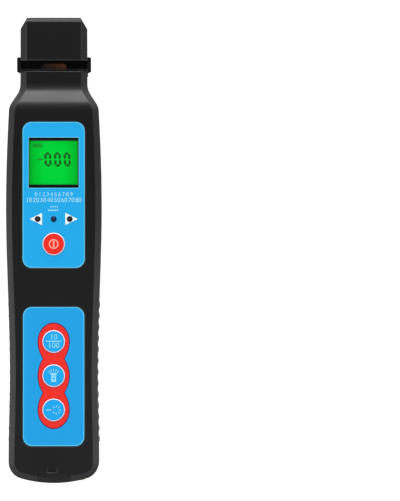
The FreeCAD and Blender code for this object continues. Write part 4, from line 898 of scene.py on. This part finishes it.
def solder_mask():
    """Green mask with the copper tracks showing as slightly paler lines."""
    material, tree = new_material("green_solder_mask")
    point, _, _ = place_in_mm(tree)
    tracks = add_node(
        tree, "ShaderNodeTexBrick", {"Vector": point, "Scale": TRACK_SCALE, "Mortar Size": TRACK_WIDE}
    )
    colour = mixed(tree, tracks.outputs["Fac"], linear(MASK_GREEN), linear(TRACK_GREEN))
    shader = add_node(tree, "ShaderNodeBsdfPrincipled", {"Base Color": colour, "Roughness": 0.35})
    add_node(tree, "ShaderNodeOutputMaterial", {"Surface": shader})
    return material


dress(solder_mask(), "main_board")
CHIP_BLACK = moulded_plastic("moulded_epoxy_package", "#17171a", 0.6, grain=0.2, depth=0.008)
dress(CHIP_BLACK, "processor_chip", "amplifier_chip", "buzzer")
dress(CHIP_BLACK, *[name for name in NODES if name.endswith("_switch")])


def clear_epoxy():
    """Water-clear lens over a yellow phosphor."""
    material, tree = new_material("clear_epoxy_lens")
    shader = add_node(
        tree, "ShaderNodeBsdfPrincipled",
        {"Base Color": linear("#e6e4c8"), "Roughness": 0.12, "Coat Weight": 1.0, "Coat Roughness": 0.03},
    )
    add_node(tree, "ShaderNodeOutputMaterial", {"Surface": shader})
    return material


dress(clear_epoxy(), "torch_lamp")

# Cells: three steel cans in printed shrink sleeves, dark with a copper-coloured band next to the
# button, held between the plated contacts. They lie by turns, so that they are joined in a row.

SLEEVE_DARK, SLEEVE_COPPER, CAP_STEEL = "#1c1e22", "#b9703a", "#cfcfcf"
BAND_SHARE, CAP_DEEP = 0.45, 1.0


def cell_sleeve(name, band_at_head):
    """Printed shrink sleeve with a metallic band at the button end."""
    material, tree = new_material(f"{name}_shrink_sleeve")
    _, _, y = place_in_mm(tree)
    centre, half = middle(name), half_size(name)
    lift = maths(tree, "SUBTRACT", y, centre.y)
    turned = maths(tree, "MULTIPLY", lift, 1.0 if band_at_head else -1.0)
    band = maths(tree, "GREATER_THAN", turned, half.y * BAND_SHARE)
    cap = maths(tree, "GREATER_THAN", turned, half.y - CAP_DEEP)
    base = add_node(tree, "ShaderNodeRGB")
    base.outputs[0].default_value = linear(SLEEVE_DARK)
    colour = over(tree, over(tree, base.outputs[0], band, SLEEVE_COPPER), cap, CAP_STEEL)
    shader = add_node(
        tree, "ShaderNodeBsdfPrincipled",
        {"Base Color": colour, "Metallic": band, "Roughness": 0.3},
    )
    add_node(tree, "ShaderNodeOutputMaterial", {"Surface": shader})
    return material


for i, side in enumerate(("left", "middle", "right")):
    dress(cell_sleeve(f"battery_{side}", i % 2 == 0), f"battery_{side}")

# Floor: a plain white sheet that the object lies on. What the camera and shiny surfaces see of it is
# white, with the soft shadow kept. It lies a hair below the back, so that the two don't coincide.

FLOOR_HALF, FLOOR_LEVEL = 4.0, -0.1 * MM
PAPER, SHADE = (0.85, 0.85, 0.85, 1), (0.01, 0.01, 0.01, 1)
WHITE = (1, 1, 1, 1)
SHEET_GLOW, CAMERA_GLOW = 0.12, 0.5
SKY_REACH, SKY_HIDDEN, SKY_OPEN = 25, 0.1, 0.4
GAP_MIDDLE, GAP_HALF, GAP_REACH = half_size("head_cap").x + 0.05, 0.2, 4.6


def seen_directly(tree, rays):
    """1 where the camera, a mirror or a clear piece looks, and 0 for the light that surfaces get."""
    seen = maths(tree, "MAXIMUM", rays.outputs["Is Camera Ray"], rays.outputs["Is Glossy Ray"])
    return maths(tree, "MAXIMUM", seen, rays.outputs["Is Transmission Ray"])


def white_sheet(tree):
    """Diffuse paper with a glow for what looks at it, less where the object hides the sky."""
    rays = add_node(tree, "ShaderNodeLightPath")
    sky_seen = add_node(tree, "ShaderNodeAmbientOcclusion", {"Distance": SKY_REACH * MM}, samples=8)
    clear = ramp(tree, sky_seen.outputs["AO"], SKY_HIDDEN, SKY_OPEN)
    lift = maths(tree, "MULTIPLY_ADD", rays.outputs["Is Camera Ray"], CAMERA_GLOW, SHEET_GLOW)
    lift = maths(tree, "MULTIPLY", lift, clear)
    glow = add_node(tree, "ShaderNodeEmission", {"Color": WHITE, "Strength": lift})
    paper = add_node(tree, "ShaderNodeBsdfDiffuse", {"Color": PAPER})
    both = add_node(tree, "ShaderNodeAddShader", {0: paper, 1: glow})
    return add_node(tree, "ShaderNodeMixShader", {0: seen_directly(tree, rays), 1: paper, 2: both})


def hairline_mask(tree):
    """1 on two strips of floor beside the clamp's cheeks, which are painted dark.

    Seen from straight above, pale floor would otherwise show as a line through each gap.
    """
    _, x, y = place_in_mm(tree)
    away = maths(tree, "ABSOLUTE", x)
    beside = maths(tree, "COMPARE", away, GAP_MIDDLE, GAP_HALF)
    along = maths(tree, "COMPARE", y, middle("bend_hump").y, GAP_REACH)
    return maths(tree, "MULTIPLY", beside, along)


def studio_floor():
    """The sheet with its material."""
    mesh = bpy.data.meshes.new("studio_floor")
    ends = ((-1, -1), (1, -1), (1, 1), (-1, 1))
    corners = [(x * FLOOR_HALF, y * FLOOR_HALF, FLOOR_LEVEL) for x, y in ends]
    mesh.from_pydata(corners, [], [(0, 1, 2, 3)])
    floor = bpy.data.objects.new("studio_floor", mesh)
    bpy.context.collection.objects.link(floor)
    material, tree = new_material("white_paper")
    dark = add_node(tree, "ShaderNodeBsdfDiffuse", {"Color": SHADE})
    inputs = {0: hairline_mask(tree), 1: white_sheet(tree), 2: dark}
    surface = add_node(tree, "ShaderNodeMixShader", inputs)
    add_node(tree, "ShaderNodeOutputMaterial", {"Surface": surface})
    mesh.materials.append(material)


studio_floor()

# Light: an even surround lights the object. What mirrors it sees it dimmer overhead and on one side.
# A narrow beam from either side lights the bevels, and a long low box beyond the head the slope.

FILL = 0.84
OVERHEAD_SEEN, HORIZON_SEEN, FAR_SIDE_SEEN = 0.3, 0.88, 0.42
HORIZON_HEIGHT, OVERHEAD_HEIGHT = 0.2, 0.9
BRIGHT_SIDE = (-0.8, 0.6, 0.0)
FAR_END, BRIGHT_END = -0.7, 0.6
SIDE_WIDE, SIDE_TALL = 0.35, 0.15
LEFT_PLACE, LEFT_AIM, LEFT_WATTS, LEFT_BEAM = (-0.62, -0.14, 0.14), (-0.02, -0.14, 0.0), 0.03, 38
RIGHT_PLACE, RIGHT_AIM, RIGHT_WATTS, RIGHT_BEAM = (0.62, -0.2, 0.14), (0.02, -0.17, 0.0), 0.026, 34
HEAD_PLACE, HEAD_WATTS, HEAD_WIDE, HEAD_TALL = (0.0, 1.1, 0.27), 13.0, 1.2, 0.45


def mirrored_strength(tree, rays):
    """How bright the surround looks by direction; always full for the camera."""
    way = add_node(tree, "ShaderNodeTexCoord").outputs["Generated"]
    height = add_node(tree, "ShaderNodeSeparateXYZ", {0: way}).outputs[2]
    strength = ramp(tree, height, HORIZON_HEIGHT, OVERHEAD_HEIGHT, HORIZON_SEEN, OVERHEAD_SEEN)
    toward = vector_maths(tree, "DOT_PRODUCT", way, BRIGHT_SIDE).outputs["Value"]
    sideways = ramp(tree, toward, FAR_END, BRIGHT_END, FAR_SIDE_SEEN, 1.0)
    strength = maths(tree, "MULTIPLY", strength, sideways)
    return maths(tree, "MAXIMUM", strength, rays.outputs["Is Camera Ray"])


def studio_world():
    """The white surround."""
    world = bpy.data.worlds.new("studio")
    bpy.context.scene.world = world
    world.use_nodes = True
    tree = world.node_tree
    tree.nodes.clear()
    rays = add_node(tree, "ShaderNodeLightPath")
    strength = mirrored_strength(tree, rays)
    seen = add_node(tree, "ShaderNodeBackground", {"Color": WHITE, "Strength": strength})
    fill = add_node(tree, "ShaderNodeBackground", {"Color": WHITE, "Strength": FILL})
    sky = add_node(tree, "ShaderNodeMixShader", {0: seen_directly(tree, rays), 1: fill, 2: seen})
    add_node(tree, "ShaderNodeOutputWorld", {"Surface": sky})


studio_world()


def soft_box(name, place, wide, tall, watts, aim=(0, 0, 0), beam=180):
    """A rectangular soft light that looks at a point of the object, its beam given in degrees."""
    lamp = bpy.data.lights.new(name, "AREA")
    lamp.shape = "RECTANGLE"
    lamp.size, lamp.size_y = wide, tall
    lamp.energy = watts
    lamp.spread = math.radians(beam)
    holder = bpy.data.objects.new(name, lamp)
    bpy.context.collection.objects.link(holder)
    holder.location = place
    holder.rotation_euler = (Vector(aim) - Vector(place)).to_track_quat("-Z", "Y").to_euler()
    holder.visible_camera = False


soft_box("left_box", LEFT_PLACE, SIDE_WIDE, SIDE_TALL, LEFT_WATTS, LEFT_AIM, LEFT_BEAM)
soft_box("right_box", RIGHT_PLACE, SIDE_WIDE, SIDE_TALL, RIGHT_WATTS, RIGHT_AIM, RIGHT_BEAM)
soft_box("head_box", HEAD_PLACE, HEAD_WIDE, HEAD_TALL, HEAD_WATTS)

# Camera: straight above, with a very long lens, so that the object sits where it does in the frame
# of the product picture. The object's middle is left of the picture's middle.

PICTURE_TALL, PICTURE_WIDE, PIXEL = 501, 400, 0.469
OBJECT_MIDDLE = (54.0, 250.2)
DISTANCE, SENSOR = 6.0, 36.0
camera_data = bpy.data.cameras.new("camera")
camera = bpy.data.objects.new("camera", camera_data)
bpy.context.collection.objects.link(camera)
bpy.context.scene.camera = camera
camera_data.sensor_width = SENSOR
camera_data.lens = SENSOR * DISTANCE / (PICTURE_TALL * PIXEL * MM)
camera_data.clip_start, camera_data.clip_end = 0.1, 50.0
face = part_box("front_shell")[1][2] / 2
camera.location = (
    (PICTURE_WIDE / 2 - OBJECT_MIDDLE[0]) * PIXEL * MM,
    (OBJECT_MIDDLE[1] - PICTURE_TALL / 2) * PIXEL * MM,
    DISTANCE + face,
)
bpy.context.scene.view_settings.view_transform = "Standard"
